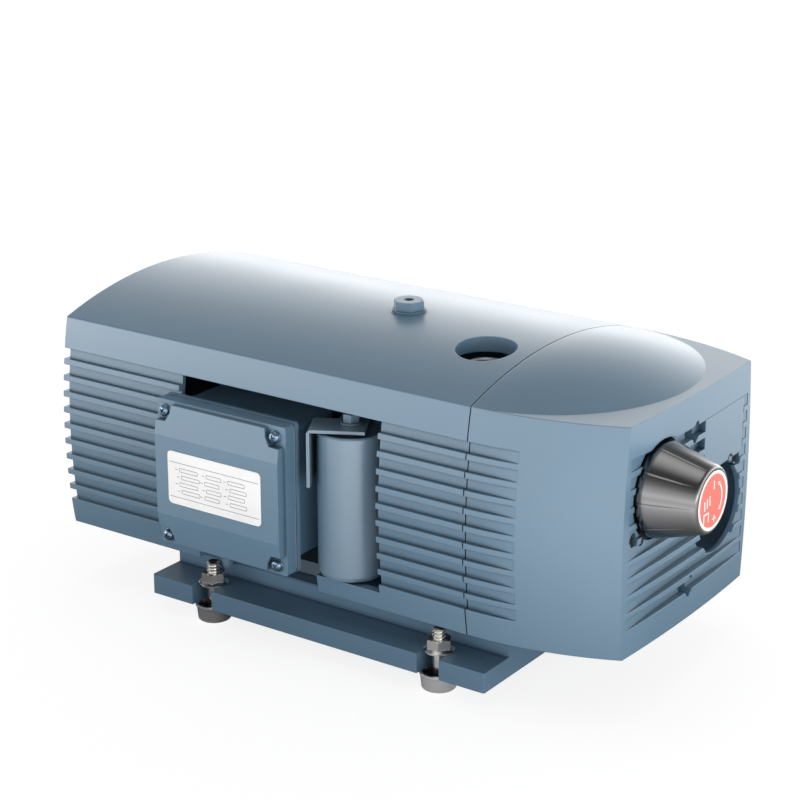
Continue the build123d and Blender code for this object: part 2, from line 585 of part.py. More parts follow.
# Squirrel-cage rotor with end rings and small blades
cage = tube(CORE_X0, CORE_X1, STATOR_R - AIR_GAP, s["core"] + SHAFT_FIT)
for x0, x1 in ((CORE_X0 - 9, CORE_X0), (CORE_X1, CORE_X1 + 9)):
    cage += tube(x0, x1, STATOR_R - 1.5, 24.0)
for x0, x1 in ((CORE_X0 - 17, CORE_X0 - 8), (CORE_X1 + 8, CORE_X1 + 17)):
    blade = block(x0, x1, 25.5, 32.5, AXIS_Z - 0.9, AXIS_Z + 0.9)
    cage = cage.fuse(*ring_of(blade, 8))
save("motor_rotor", cage)


def bladed_wheel(x0, x1, r_hub, r_tip, step, blades, sweep, back):
    """Wheel with curved blades on a back plate."""
    hub = rod(x0, x1, r_hub)
    disc = rod(x0, x0 + 3.0, back)
    ra, rb = r_hub - 1.0, r_tip
    mid = (ra + rb) / 2
    a = math.radians(sweep)
    inner_p = (ra, 0)
    mid_p = (mid * math.cos(a * 0.35), mid * math.sin(a * 0.35))
    outer_p = (rb * math.cos(a), rb * math.sin(a))
    path = ThreePointArc(inner_p, mid_p, outer_p)
    blade_face = make_face([path, Line(outer_p, (outer_p[0] - 1.6, outer_p[1] + 1.6)),
                            ThreePointArc((outer_p[0] - 1.6, outer_p[1] + 1.6),
                                          (mid_p[0] - 1.6, mid_p[1] + 1.9), (ra - 0.2, 2.2)),
                            Line((ra - 0.2, 2.2), inner_p)])
    blade = prism(x0 + 1.0, x1 - 1.0, Pos(0, AXIS_Z) * blade_face)
    wheel = hub.fuse(disc, *ring_of(blade, blades))
    return wheel - keyed_bore(x0 - 1, x1 + 1, step)


rear_fan = bladed_wheel(FAN_X0, FAN_X0 + 28, 16.0, 66.0, "fan", 9, 26.0, 40.0)
save("rear_fan", rear_fan)
COWL_X0 = FAN_X0 - 14.0
COWL_T = 1.6
COWL_FIT = 0.02
cowl = tube(COWL_X0, FRAME_X0 + 5.5, FIN_R + COWL_T, FIN_R + COWL_FIT)
cowl += rod(COWL_X0, COWL_X0 + COWL_T, FIN_R + COWL_T)
air_slot = block(COWL_X0 - 1, COWL_X0 + COWL_T + 1, 26.0, 64.0, AXIS_Z - 3.5, AXIS_Z + 3.5)
cowl = cowl.cut(*ring_of(air_slot, 18))
save("fan_cowl", cowl)
cooling_fan = bladed_wheel(0.0, 36.0, 21.0, 66.0, "pump", 11, 30.0, 66.0)
save("cooling_fan", cooling_fan)

# Fan housing: a lantern between motor and pump with four outlets
HOUSING_X0 = FRAME_X1 + SHIELD_T
HOUSING_X1 = PUMP_X0 - END_T
lantern = tube(HOUSING_X0, HOUSING_X1, FIN_R - 1.5, FIN_R - 6.5)
lantern += tube(HOUSING_X1 - 5, HOUSING_X1, FIN_R, 60.0)
window = block(HOUSING_X0 + 10, HOUSING_X1 - 10, 40, 90, AXIS_Z - 26, AXIS_Z + 26)
for cut in ring_of(window, 4, 0):
    lantern -= cut
save("fan_housing", lantern)

# Pump: back plate, cylinder and front plate held by six long bolts
BORE_Z = AXIS_Z + ECCENTRIC
BOLT_RING = 70.5
PUMP_BOLTS = [polar(BOLT_RING, a) for a in (0, 180, 210, 240, 300, 330)]


def kidney(x0, x1, a0, a1, r_in, r_out):
    """Curved port between two angles, about the axis of the bore."""
    ring = tube(x0, x1, r_out, r_in, 0, BORE_Z)
    reach = 120.0
    p0 = (reach * math.cos(math.radians(a0)), reach * math.sin(math.radians(a0)))
    p1 = (reach * math.cos(math.radians(a1)), reach * math.sin(math.radians(a1)))
    wedge = make_face(Polyline((0, 0), p0, p1, close=True))
    return ring & prism(x0 - 1, x1 + 1, Pos(0, BORE_Z) * wedge)


back_plate = rod(HOUSING_X1, PUMP_X0, PUMP_R) - rod(HOUSING_X1 - 1, PUMP_X0 + 1, s["pump"] + 0.4)
front_plate = rod(PUMP_X1, MANIFOLD_X0, PUMP_R)
front_plate -= rod(PUMP_X1 - 1, PUMP_X1 + 10.02, 21.0 + SHAFT_FIT)
front_plate -= rod(PUMP_X1 - 1, MANIFOLD_X0 - 1, s["end"] + 1.0)
front_plate -= kidney(PUMP_X1 - 1, MANIFOLD_X0 + 1, 118, 158, 51.0, 58.5)
front_plate -= kidney(PUMP_X1 - 1, MANIFOLD_X0 + 1, 2, 40, 51.0, 58.5)
pump_fins = Circle(72.0)
for i in range(36):
    pump_fins += Rot(0, 0, i * 10) * Pos(73.5, 0) * Rectangle(8.0, 2.8)
cylinder = prism(PUMP_X0 + 6, PUMP_X1 - 6, Pos(0, AXIS_Z) * pump_fins)
cylinder += rod(PUMP_X0, PUMP_X0 + 6, PUMP_R) + rod(PUMP_X1 - 6, PUMP_X1, PUMP_R)
cylinder -= rod(PUMP_X0 - 1, PUMP_X1 + 1, BORE_RADIUS, 0, BORE_Z)
pump_foot = block(PUMP_X0 + 6, PUMP_X1 - 6, -40, 40, PEDESTAL_TOP, AXIS_Z - 62)
cylinder += pump_foot - rod(PUMP_X0, PUMP_X1, 66.0)
bolt_holes = [rod(HOUSING_X1 - 1, MANIFOLD_X0 + 1, 3.3, y, z) for y, z in PUMP_BOLTS]
save("pump_back_plate", back_plate.cut(*bolt_holes))
save("pump_front_plate", front_plate.cut(*bolt_holes))
save("pump_cylinder", cylinder.cut(*bolt_holes))
pump_bolts = []
for y, z in PUMP_BOLTS:
    pump_bolts.append(rod(HOUSING_X1 + 0.5, MANIFOLD_X0 - 0.5, 2.95, y, z))
save("pump_bolts", *pump_bolts)

# Slotted rotor and carbon vanes, drawn in so that they clear the bore
rotor_x0 = PUMP_X0 + SIDE_CLEAR
rotor_x1 = PUMP_X1 - SIDE_CLEAR
rotor = rod(rotor_x0, rotor_x1, ROTOR_R) - keyed_bore(PUMP_X0 - 1, PUMP_X1 + 1, "pump")
slot_len = 60.0
vane_slot = block(rotor_x0 - 1, rotor_x1 + 1, SLOT_FLOOR, SLOT_FLOOR + slot_len,
                  AXIS_Z + VANE_OFFSET - VANE_T / 2, AXIS_Z + VANE_OFFSET + VANE_T / 2)
rotor = rotor.cut(*ring_of(vane_slot, VANES, 12.0))
save("pump_rotor", rotor)
tip_r = ROTOR_R - 0.3
tip_y = math.sqrt(tip_r**2 - (VANE_OFFSET + VANE_T / 2)**2)
vt = VANE_T / 2 - VANE_CLEAR
vane_face = make_face(Polyline((SLOT_FLOOR + 0.4, VANE_OFFSET - vt), (tip_y - 0.2, VANE_OFFSET - vt),
                               (tip_y + 0.5, VANE_OFFSET - vt + 1.0), (tip_y + 0.2, VANE_OFFSET + vt - 1.2),
                               (tip_y - 0.3, VANE_OFFSET + vt), (SLOT_FLOOR + 0.4, VANE_OFFSET + vt),
                               close=True))
vane = prism(rotor_x0 + 0.1, rotor_x1 - 0.1, Pos(0, AXIS_Z) * vane_face)
save("vanes", *ring_of(vane, VANES, 12.0))

# Filter housing: a back wall, two round chambers and the intake duct with its riser
fh_x0 = MANIFOLD_X0
fh_x1 = MANIFOLD_X0 + MANIFOLD_T
plate_a = rod(fh_x0, fh_x1, PUMP_R)
plate_b = rod(fh_x0, fh_x1, CHAMBER_R + 3, KNOB_Y, KNOB_Z)
plate_c = rod(fh_x0, fh_x1, CHAMBER_R + 3, OUTLET_Y, OUTLET_Z)
housing = plate_a + plate_b + plate_c
housing += rod(fh_x0, CHAMBER_X1, CHAMBER_R, KNOB_Y, KNOB_Z)
housing += rod(fh_x0, CHAMBER_X1, CHAMBER_R, OUTLET_Y, OUTLET_Z)
DUCT_Z0 = 214.5
DUCT_Z1 = 236.0
DUCT_Y = (INLET_Y - 19.0, INLET_Y + 19.0)
duct = block(62.0, 172.0, DUCT_Y[0], DUCT_Y[1], DUCT_Z0, DUCT_Z1)
duct = fillet(duct.edges().filter_by(Axis.Z), 9.0)
housing += duct + post(INLET_X, INLET_Y, DUCT_Z0, 240.0, 19.0)
for z in CAP_SCREW_Z:
    housing += rod(fh_x0, 220.0, 7.0, 0, z)
    housing += block(fh_x0, fh_x1, -12, 12, min(z, AXIS_Z), max(z, AXIS_Z))
housing -= rod(fh_x1, CHAMBER_X1 + 1, CHAMBER_IN_R, KNOB_Y, KNOB_Z)
housing -= rod(fh_x1, CHAMBER_X1 + 1, CHAMBER_IN_R, OUTLET_Y, OUTLET_Z)
housing -= block(66.0, 168.0, DUCT_Y[0] + 4, DUCT_Y[1] - 4, DUCT_Z0 + 3.5, DUCT_Z1 - 3.5)
housing -= block(138.0, 166.0, DUCT_Y[0] + 5, DUCT_Y[1] - 5, 205.0, DUCT_Z0 + 5)
housing -= post(INLET_X, INLET_Y, DUCT_Z0 + 5, 241.0, 12.5)
housing -= kidney(fh_x0 - 1, fh_x1 + 1, 118, 158, 51.0, 58.5)
housing -= kidney(fh_x0 - 1, fh_x1 + 1, 2, 40, 51.0, 58.5)
for z in CAP_SCREW_Z:
    housing -= rod(203.0, 221.0, 4.1, 0, z)
save("filter_housing", housing)

# Inlet port: a threaded ring under the hole in the hood
INLET_TOP = 253.6
THREAD_G34_R = 12.06
port_pts = [(THREAD_G34_R, 236.2), (12.45, 236.2), (12.45, 240.0), (17.5, 240.0), (17.5, 243.0)]
port_pts += [(16.0, 244.0), (16.0, INLET_TOP - 1.0), (15.0, INLET_TOP), (13.2, INLET_TOP)]
port_pts += [(THREAD_G34_R, INLET_TOP - 1.2)]
save("inlet_port", spun(port_pts, INLET_X, INLET_Y))

# Filter cartridges: a pleated ring between two end discs
def cartridge(x0, x1, y, z, pleats, r_out, r_in):
    outline = []
    for i in range(pleats * 2):
        r = r_out if i % 2 == 0 else r_out - 4.0
        a = math.pi * i / pleats
        outline.append((r * math.cos(a), r * math.sin(a)))
    media = make_face(Polyline(*outline, close=True)) - Circle(r_in)
    body = prism(x0 + 2, x1 - 2, Pos(y, z) * media)
    return body + tube(x0, x0 + 3, r_out + 1, r_in, y, z) + tube(x1 - 3, x1, r_out + 1, r_in, y, z)


save("intake_filter", cartridge(fh_x1 + 14, 212.0, KNOB_Y, KNOB_Z, 24, 30.0, 18.0))
save("outlet_filter", cartridge(fh_x1 + 2, 218.0, OUTLET_Y, OUTLET_Z, 24, 30.0, 18.0))

# Lids that close the two chambers, held by three screws each
LID_T = 4.0
LID_SCREW_R = 33.0
lid_x1 = CHAMBER_X1 + LID_T
valve_hole = 14.0


def lid(y, z, hole, boss_r, boss_x):
    disc = rod(CHAMBER_X1, lid_x1, CHAMBER_R, y, z)
    disc += rod(CHAMBER_X1, boss_x, boss_r, y, z)
    disc += tube(CHAMBER_X1 - 4, CHAMBER_X1 + 1, CHAMBER_IN_R - 0.3, CHAMBER_IN_R - 2.8, y, z)
    return disc - rod(CHAMBER_X1 - 5, boss_x + 1, hole, y, z)


save("intake_lid", lid(KNOB_Y, KNOB_Z, valve_hole, 20.0, CHAMBER_X1 + 7.0))
save("outlet_lid", lid(OUTLET_Y, OUTLET_Z, THREAD_G34_R, 20.0, CHAMBER_X1 + 12.0))

# Regulating valve: body, stem with disc, spring, seat washer and adjusting nut
vy, vz = KNOB_Y, KNOB_Z
SEAT_X = CHAMBER_X1 - 1.0
body_pts = [(SEAT_X, 10.0), (SEAT_X, 13.97), (CHAMBER_X1 + 7.0, 13.97), (CHAMBER_X1 + 7.0, 22.0)]
body_pts += [(CHAMBER_X1 + 13.0, 22.0), (CHAMBER_X1 + 13.0, 14.0), (252.0, 14.0), (252.0, 10.6)]
body_pts += [(236.0, 10.6), (236.0, 4.05), (233.0, 4.05), (233.0, 10.0)]
valve_body = turned(body_pts, vy, vz)
port_hole = rod(232.0, 237.0, 2.0, vy, vz + 7.4)
for hole in ring_of(port_hole, 6, 0, vy, vz):
    valve_body -= hole
save("valve_body", valve_body)
stem_pts = [(213.0, 0), (213.0, 12.5), (214.0, 13.2), (SEAT_X - 0.02, 13.2), (SEAT_X - 0.02, 9.0)]
stem_pts += [(SEAT_X + 2.0, 4.0), (278.0, 4.0), (279.0, 3.0), (279.0, 0)]
save("valve_stem", turned(stem_pts, vy, vz))
NUT_X0 = 263.0
NUT_X1 = 271.0
cup_pts = [(NUT_X0 - 4.0, 4.15), (NUT_X0 - 4.0, 6.6), (NUT_X0 - 1.5, 6.6), (NUT_X0 - 1.5, 10.0)]
cup_pts += [(NUT_X0, 10.0), (NUT_X0, 4.15)]
save("spring_seat", turned(cup_pts, vy, vz))
NUT_AF = 22.0
nut_face = RegularPolygon(NUT_AF / 2, 6, major_radius=False) - Circle(4.05)
save("adjusting_nut", prism(NUT_X0, NUT_X1, Pos(vy, vz) * nut_face))
SPRING_X0 = 236.0
SPRING_X1 = NUT_X0 - 1.5
SPRING_R = 8.6
WIRE_R = 0.8
coil_len = SPRING_X1 - SPRING_X0 - 2 * WIRE_R - 0.1
helix = Helix(pitch=coil_len / 6.0, height=coil_len, radius=SPRING_R)
wire = Plane(origin=helix @ 0, z_dir=helix % 0) * RegularPolygon(WIRE_R, 6)
coil = sweep(wire, path=helix, is_frenet=True)
coil = Pos(SPRING_X0 + WIRE_R + 0.05, vy, vz) * Rot(0, 90, 0) * coil
save("valve_spring", coil)

# Knob: a ten-sided cone with ridges, open at the back, and its printed end disc
KNOB_X0 = 242.0
KNOB_SKIRT_X = 256.8
KNOB_X1 = 295.4
KNOB_BASE_R = 38.8
KNOB_TIP_R = 27.2
KNOB_WALL = 4.5
FACETS = 10
RIDGE = 0.6
rings = []
for x, r in ((KNOB_X0 + 2, KNOB_BASE_R), (KNOB_SKIRT_X, KNOB_BASE_R), (KNOB_X1 - 3, KNOB_TIP_R + RIDGE)):
    rings.append(across(x) * Pos(vy, vz) * RegularPolygon(r + RIDGE, FACETS, major_radius=True))
cone = loft(rings[:2]) + loft(rings[1:])
round_pts = [(KNOB_X0, 0), (KNOB_X0, KNOB_BASE_R - 1.2), (KNOB_X0 + 1.2, KNOB_BASE_R)]
round_pts += [(KNOB_SKIRT_X - 3, KNOB_BASE_R), (KNOB_SKIRT_X + 2, KNOB_BASE_R - 1.1)]
round_pts += [(KNOB_X1 - 3, KNOB_TIP_R + RIDGE), (KNOB_X1, KNOB_TIP_R - 1.4), (KNOB_X1, 0)]
knob = cone + turned(round_pts, vy, vz)
hollow_r = KNOB_BASE_R - KNOB_WALL
knob -= turned([(KNOB_X0 - 1, 0), (KNOB_X0 - 1, hollow_r), (KNOB_SKIRT_X, hollow_r - 1.0),
                (NUT_X0 + 4, 20.0), (NUT_X0 + 4, 0)], vy, vz)
nut_pocket = RegularPolygon(NUT_AF / 2 + 0.3, 6, major_radius=False)
knob -= prism(NUT_X0 - 3, KNOB_X1 - 8, Pos(vy, vz) * nut_pocket)
knob -= rod(KNOB_X1 - 1.2, KNOB_X1 + 1, KNOB_TIP_R - 3.4, vy, vz)
knob += tube(243.0, NUT_X0 + 5, 18.0, 14.05, vy, vz)
save("regulator_knob", knob)
disc_x0 = KNOB_X1 - 1.2
disc = rod(disc_x0, disc_x0 + 1.6, KNOB_TIP_R - 3.5, vy, vz)
save("knob_disc", disc)

# Terminal box on the side of the motor
BOX_CX = (BOX_X0 + BOX_X1) / 2
BOX_CZ = (BOX_Z0 + BOX_Z1) / 2
SKIRT_BACK = -145.8
GASKET_BACK = -144.3
FLANGE_BACK = -140.3
BOX_BACK = -84.0


def upright(y0, y1, face):
    """Face drawn in (X, Z) and run along Y from y0 to y1, with y1 above y0."""
    plane = Plane(origin=(0, y1, 0), x_dir=(1, 0, 0), z_dir=(0, -1, 0))
    return extrude(plane * face, amount=y1 - y0)


def framed(width, height, radius=3.0):
    return Pos(BOX_CX, BOX_CZ) * RectangleRounded(width, height, radius)


BOX_W = BOX_X1 - BOX_X0
BOX_H = BOX_Z1 - BOX_Z0
flange = upright(GASKET_BACK, FLANGE_BACK, framed(BOX_W + 1.6, BOX_H + 1.6))
case = upright(GASKET_BACK, BOX_BACK, framed(BOX_W - 14, BOX_H - 14))
cavity = upright(GASKET_BACK - 1, BOX_BACK - 5, framed(BOX_W - 22, BOX_H - 22))
box = flange + case - cavity
SCREW_X = (-161.2, -44.6)
SCREW_Z = (84.2, 196.6)
CORNERS = [(x, z) for x in SCREW_X for z in SCREW_Z]


def stub(x, z, y0, y1, r):
    return upright(y0, y1, Pos(x, z) * Circle(r))


for x, z in CORNERS:
    box -= stub(x, z, GASKET_BACK - 1, FLANGE_BACK + 1, 2.55)
box -= stub(BOX_CX, AXIS_Z, BOX_BACK - 6, BOX_BACK + 1, 14.0)
GLAND_X = -135.5
GLAND_Y = -113.5
box -= post(GLAND_X, GLAND_Y, BOX_Z0, BOX_Z0 + 14, 6.1)
save("terminal_box", box)
gasket = upright(SKIRT_BACK, GASKET_BACK, framed(BOX_W - 1.0, BOX_H - 1.0))
gasket -= upright(SKIRT_BACK - 1, GASKET_BACK + 1, framed(BOX_W - 20, BOX_H - 20))
for x, z in CORNERS:
    gasket += stub(x, z, SKIRT_BACK, GASKET_BACK, 7.0)
for x, z in CORNERS:
    gasket -= stub(x, z, SKIRT_BACK - 1, GASKET_BACK + 1, 2.8)
save("terminal_gasket", gasket)

# Cover: a skirted lid with a raised, bevelled centre notched round its four screws
NOTCH = [(65.2, 0.0), (65.2, 47.6), (55.0, 48.0), (50.6, 55.2), (49.4, 62.4), (0.0, 62.4)]
outline = [(x, z) for x, z in NOTCH]
outline += [(-x, z) for x, z in reversed(NOTCH[1:-1])]
outline += [(-x, -z) for x, z in NOTCH[:-1]]
outline += [(x, -z) for x, z in reversed(NOTCH[1:-1])]
raised_face = Pos(BOX_CX, BOX_CZ) * make_face(Polyline(*outline, close=True))
COVER_FRONT = BOX_FRONT - COVER_RAISE
cover = upright(BOX_FRONT, SKIRT_BACK, framed(BOX_W, BOX_H, 1.6))
raised = upright(COVER_FRONT, BOX_FRONT + 1, raised_face)
HIP = 35.5
for side in (-1, 1):
    z_hip = BOX_CZ + side * HIP
    z_far = BOX_CZ + side * 64.0
    wedge = make_face(Polyline((COVER_FRONT, z_hip), (COVER_FRONT - 2, z_hip), (COVER_FRONT - 2, z_far),
                               (COVER_FRONT + 4.3, z_far), close=True))
    plane = Plane(origin=(BOX_X0 - 5, 0, 0), x_dir=(0, 1, 0), z_dir=(1, 0, 0))
    raised -= extrude(plane * wedge, amount=BOX_W + 10)
cover = cover + raised
inner_face = Pos(BOX_CX, BOX_CZ) * offset(make_face(Polyline(*outline, close=True)), -3.5)
cover -= upright(BOX_FRONT, SKIRT_BACK + 1, inner_face)
for x, z in CORNERS:
    cover -= stub(x, z, BOX_FRONT - 1, SKIRT_BACK + 1, 2.7)
save("terminal_cover", cover)

# Pan-head screws with washers and cross recesses
box_screws = []
for x, z in CORNERS:
    washer = stub(x, z, BOX_FRONT - 1.0, BOX_FRONT, 5.8) - stub(x, z, BOX_FRONT - 2, BOX_FRONT + 1, 2.6)
    box_screws.append(washer)
    pan_pts = [(0, -4.6), (2.6, -4.5), (4.4, -3.6), (5.1, -2.0), (5.1, -1.0)]
    pan_pts += [(2.5, -1.0), (2.5, 15.5), (0, 15.5)]
    plane = Plane(origin=(x, BOX_FRONT, z), x_dir=(1, 0, 0), z_dir=(0, 0, 1))
    pan = revolve(plane * make_face(Polyline(*pan_pts, close=True)), axis=Axis((x, 0, z), (0, 1, 0)))
    for turn in (12, 102):
        cross = Pos(x, BOX_FRONT - 3.7, z) * Rot(0, turn, 0) * Box(6.0, 2.6, 1.0)
        pan -= cross
    box_screws.append(pan)
save("terminal_screws", *box_screws)

# Blank data plate on the cover
LABEL_W = 99.0
LABEL_H = 47.0
label_face = Pos(-103.9, 141.7) * RectangleRounded(LABEL_W, LABEL_H, 4.0)
label = upright(COVER_FRONT - 0.6, COVER_FRONT, label_face)
save("data_plate", label)

# Terminal block with six brass studs
block_solid = block(-138, -66, BOX_BACK - 21, BOX_BACK - 6.0, 158.0, 186.0)
block_solid -= block(-133, -71, BOX_BACK - 22, BOX_BACK - 15, 163.0, 181.0)
studs = []
for i in range(3):
    for z in (167.0, 177.0):
        x = -122.0 + i * 20.0
        stud = stub(x, z, BOX_BACK - 32, BOX_BACK - 15.0, 2.0)
        nut_shape = Pos(x, z) * RegularPolygon(3.5, 6, major_radius=False)
        nut = upright(BOX_BACK - 22, BOX_BACK - 18, nut_shape)
        studs.append(stud + nut)
bridge = block(-139, -65, BOX_BACK - 6.0, BOX_BACK - 5.0, 160.0, 184.0)
save("terminal_block", block_solid + bridge)
save("terminal_studs", *studs)

# Cable gland with a rounded blind cap, under the terminal box
gland_pts = [(0, 43.0), (2.3, 43.5), (4.3, 44.8), (5.6, 46.9), (6.0, 49.0), (6.0, 56.0), (9.0, 57.0)]
gland_pts += [(9.0, 68.0), (11.5, 68.0), (11.5, 77.5), (10.5, 83.2), (5.9, 83.2), (5.9, 96.0), (0, 96.0)]
save("cable_gland", spun(gland_pts, GLAND_X, GLAND_Y))

# Motor capacitor, hung from a bent bracket by a stud and nut
can_pts = [(0, CAP_Z0), (CAP_R - 5.0, CAP_Z0), (CAP_R - 1.4, CAP_Z0 + 1.4), (CAP_R, CAP_Z0 + 5.0)]
can_pts += [(CAP_R, CAP_Z1 - 1.2), (CAP_R - 1.2, CAP_Z1), (CAP_R - 3.0, CAP_Z1)]
can_pts += [(CAP_R - 3.6, CAP_Z1 - 1.0)]
can_pts += [(9.0, CAP_Z1 - 1.0), (7.0, CAP_Z1 + 2.0), (4.0, CAP_Z1 + 2.0), (4.0, CAP_Z1 + 17.0)]
can_pts += [(0, CAP_Z1 + 17.0)]
save("capacitor", spun(can_pts, CAP_X, CAP_Y))
BR_T = 2.7
br_z = CAP_Z1 + 2.0
strip = block(-34.0, 14.0, -22.0, 9.0, 0, BR_T)
leg = block(-34.0, -34.0 + BR_T, -22.0, 9.0, BR_T - 50.0, BR_T)
strap = strip + leg
bend = strap.edges().filter_by(Axis.Y).group_by(Axis.X)[0].sort_by(Axis.Z)[-1]
strap = fillet(bend, 4.5)
strap = Pos(CAP_X, CAP_Y, br_z) * Rot(0, 0, BRACKET_ANGLE) * strap
arm = make_face(Polyline((CAP_X - 13, CAP_Y + 2), (CAP_X + 11, CAP_Y + 8), (-25.0, -51.0), (-25.0, -44.8),
                         (-45.0, -44.8), (-45.0, -56.0), close=True))
strap = strap + Pos(0, 0, br_z) * extrude(arm, amount=BR_T)
strap -= post(CAP_X, CAP_Y, br_z - 1, br_z + 5, 4.3)
strap -= post(-35.0, -54.0, br_z - 1, br_z + 5, 3.4)
save("capacitor_bracket", strap)
bracket_bolt = Pos(-35.0, -54.0, br_z + BR_T) * hex_head(10.0, 4.0)
bracket_bolt += post(-35.0, -54.0, br_z - 12.0, br_z + BR_T + 1, 2.9)
save("bracket_bolt", bracket_bolt)
nut_z = br_z + BR_T
cap_nut = Pos(CAP_X, CAP_Y, nut_z + 1.6) * Rot(0, 0, 5) * hex_head(13.0, 7.0)
nut_round = [(0, nut_z), (7.6, nut_z), (7.6, nut_z + 8.0), (6.6, nut_z + 8.6), (0, nut_z + 8.6)]
cap_nut = cap_nut & spun(nut_round, CAP_X, CAP_Y)
cap_nut -= post(CAP_X, CAP_Y, nut_z, nut_z + 12, 4.05)
cap_washer = post(CAP_X, CAP_Y, nut_z, nut_z + 1.6, 9.4) - post(CAP_X, CAP_Y, nut_z - 1, nut_z + 3, 4.2)
save("capacitor_nut", cap_nut, cap_washer)

# Angle brackets on the pedestal, and rubber buffers that centre the hood on them
BUFFER_X = (-181.0, 62.0)
ANGLE_T = 3.0
angles = []
buffers = []
for x in BUFFER_X:
    for side in (-1, 1):
        foot = block(x - 14, x + 14, 86.0, 104.0, PEDESTAL_TOP, PEDESTAL_TOP + ANGLE_T)
        wall = block(x - 14, x + 14, 104.0 - ANGLE_T, 104.0, PEDESTAL_TOP, PEDESTAL_TOP + 34.0)
        y_wall = half_width(0, PEDESTAL_TOP + 15.0, WALL) - 0.3
        pin = Pos(x, 104.0, PEDESTAL_TOP + 22.0) * Rot(-90, 0, 0) * Cylinder(
            7.0, y_wall - 104.0, align=(Align.CENTER, Align.CENTER, Align.MIN))
        angle = foot + wall
        if side < 0:
            angle = angle.mirror(Plane.XZ)
            pin = pin.mirror(Plane.XZ)
        angles.append(angle)
        buffers.append(pin)
save("hood_brackets", *angles)
save("hood_buffers", *buffers)
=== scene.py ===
import math
import bpy
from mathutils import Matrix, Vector


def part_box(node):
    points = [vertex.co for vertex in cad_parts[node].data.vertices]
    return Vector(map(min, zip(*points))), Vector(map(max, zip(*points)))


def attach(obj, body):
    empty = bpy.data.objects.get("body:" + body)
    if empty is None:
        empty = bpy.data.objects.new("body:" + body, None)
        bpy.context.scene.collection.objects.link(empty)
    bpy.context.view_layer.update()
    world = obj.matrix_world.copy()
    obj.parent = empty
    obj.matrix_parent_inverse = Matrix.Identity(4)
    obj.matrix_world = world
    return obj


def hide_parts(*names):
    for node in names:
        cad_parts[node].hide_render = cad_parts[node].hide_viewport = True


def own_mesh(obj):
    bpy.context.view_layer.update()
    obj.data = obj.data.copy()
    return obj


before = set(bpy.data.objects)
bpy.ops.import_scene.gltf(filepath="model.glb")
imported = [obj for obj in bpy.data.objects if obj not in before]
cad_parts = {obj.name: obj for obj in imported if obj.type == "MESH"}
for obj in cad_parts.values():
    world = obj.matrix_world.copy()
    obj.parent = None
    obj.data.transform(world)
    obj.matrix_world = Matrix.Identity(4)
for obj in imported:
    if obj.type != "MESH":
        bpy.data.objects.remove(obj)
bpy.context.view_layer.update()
scene = bpy.context.scene
scene.view_settings.view_transform = "Standard"
MM = 0.001
MERGE_GAP = 1e-6

# Camera at the photograph's place, off the corner between the knob's end and the terminal box's side
LENS = 97.92
SENSOR_WIDTH = 36.0
SIGHT = 60.0
CAMERA_PLACE = (1.0104, -1.4566, 0.7946)
CAMERA_TARGET = (0.0342, -0.06005, 0.2118)
camera_data = bpy.data.cameras.new("studio_camera")
camera_data.lens = LENS
camera_data.sensor_width = SENSOR_WIDTH
camera_data.clip_end = SIGHT
camera = bpy.data.objects.new("studio_camera", camera_data)
scene.collection.objects.link(camera)
camera.location = CAMERA_PLACE
aim = Vector(CAMERA_TARGET) - camera.location
camera.rotation_euler = aim.to_track_quat("-Z", "Y").to_euler()
scene.camera = camera


# Bench tools: how a piece is started, shaped and handed over

def only(piece):
    """Select this piece and nothing else."""
    bpy.ops.object.select_all(action="DESELECT")
    piece.select_set(True)
    bpy.context.view_layer.objects.active = piece
    return piece


def started(name):
    """Name the primitive that was just added."""
    piece = bpy.context.view_layer.objects.active
    piece.name = name
    piece.data.name = name
    return only(piece)


def edit():
    bpy.ops.object.mode_set(mode="EDIT")


def done():
    bpy.ops.object.mode_set(mode="OBJECT")


def settle(piece):
    """Put the piece's place into its mesh, with the object at the origin."""
    only(piece)
    bpy.ops.object.transform_apply(location=True, rotation=True, scale=True)
    return piece


def add_modifier(piece, kind, **values):
    """Add a modifier, set it and apply it."""
    only(piece)
    modifier = piece.modifiers.new(kind.lower(), kind)
    for key, value in values.items():
        setattr(modifier, key, value)
    bpy.ops.object.modifier_apply(modifier=modifier.name)
    return piece


def soften(piece, width, segments=2, angle=30):
    """Round the sharp edges of a piece."""
    return add_modifier(piece, "BEVEL", width=width, segments=segments, limit_method="ANGLE",
                        angle_limit=math.radians(angle), harden_normals=False)


def outward(piece):
    """Merge doubled points and turn every face outwards."""
    only(piece)
    edit()
    bpy.ops.mesh.select_all(action="SELECT")
    bpy.ops.mesh.remove_doubles(threshold=MERGE_GAP)
    bpy.ops.mesh.normals_make_consistent(inside=False)
    done()
    return piece


def smooth(piece, angle):
    only(piece)
    bpy.ops.object.shade_smooth_by_angle(angle=math.radians(angle))
    return piece


def line_of(points, name):
    """Draw a line through (r, z) points in the XZ plane, one extruded corner after another."""
    bpy.ops.mesh.primitive_plane_add(size=MM)
    piece = started(name)
    edit()
    bpy.ops.mesh.select_all(action="SELECT")
    bpy.ops.mesh.merge(type="CENTER")
    x, z = points[0]
    bpy.ops.transform.translate(value=(x, 0, z))
    for before, after in zip(points, points[1:]):
        step = (after[0] - before[0], 0, after[1] - before[1])
        bpy.ops.mesh.extrude_vertices_move(TRANSFORM_OT_translate={"value": step})
    done()
    return piece


def in_mm(points):
    """Outline given in millimetres, in metres."""
    return [(r * MM, z * MM) for r, z in points]


def turned(points, name, steps):
    """Turn a profile of (r, z) points round the Z axis, as on a lathe."""
    piece = line_of(points, name)
    add_modifier(piece, "SCREW", steps=steps, render_steps=steps, use_merge_vertices=True,
                 merge_threshold=MERGE_GAP, use_normal_calculate=True)
    return outward(piece)


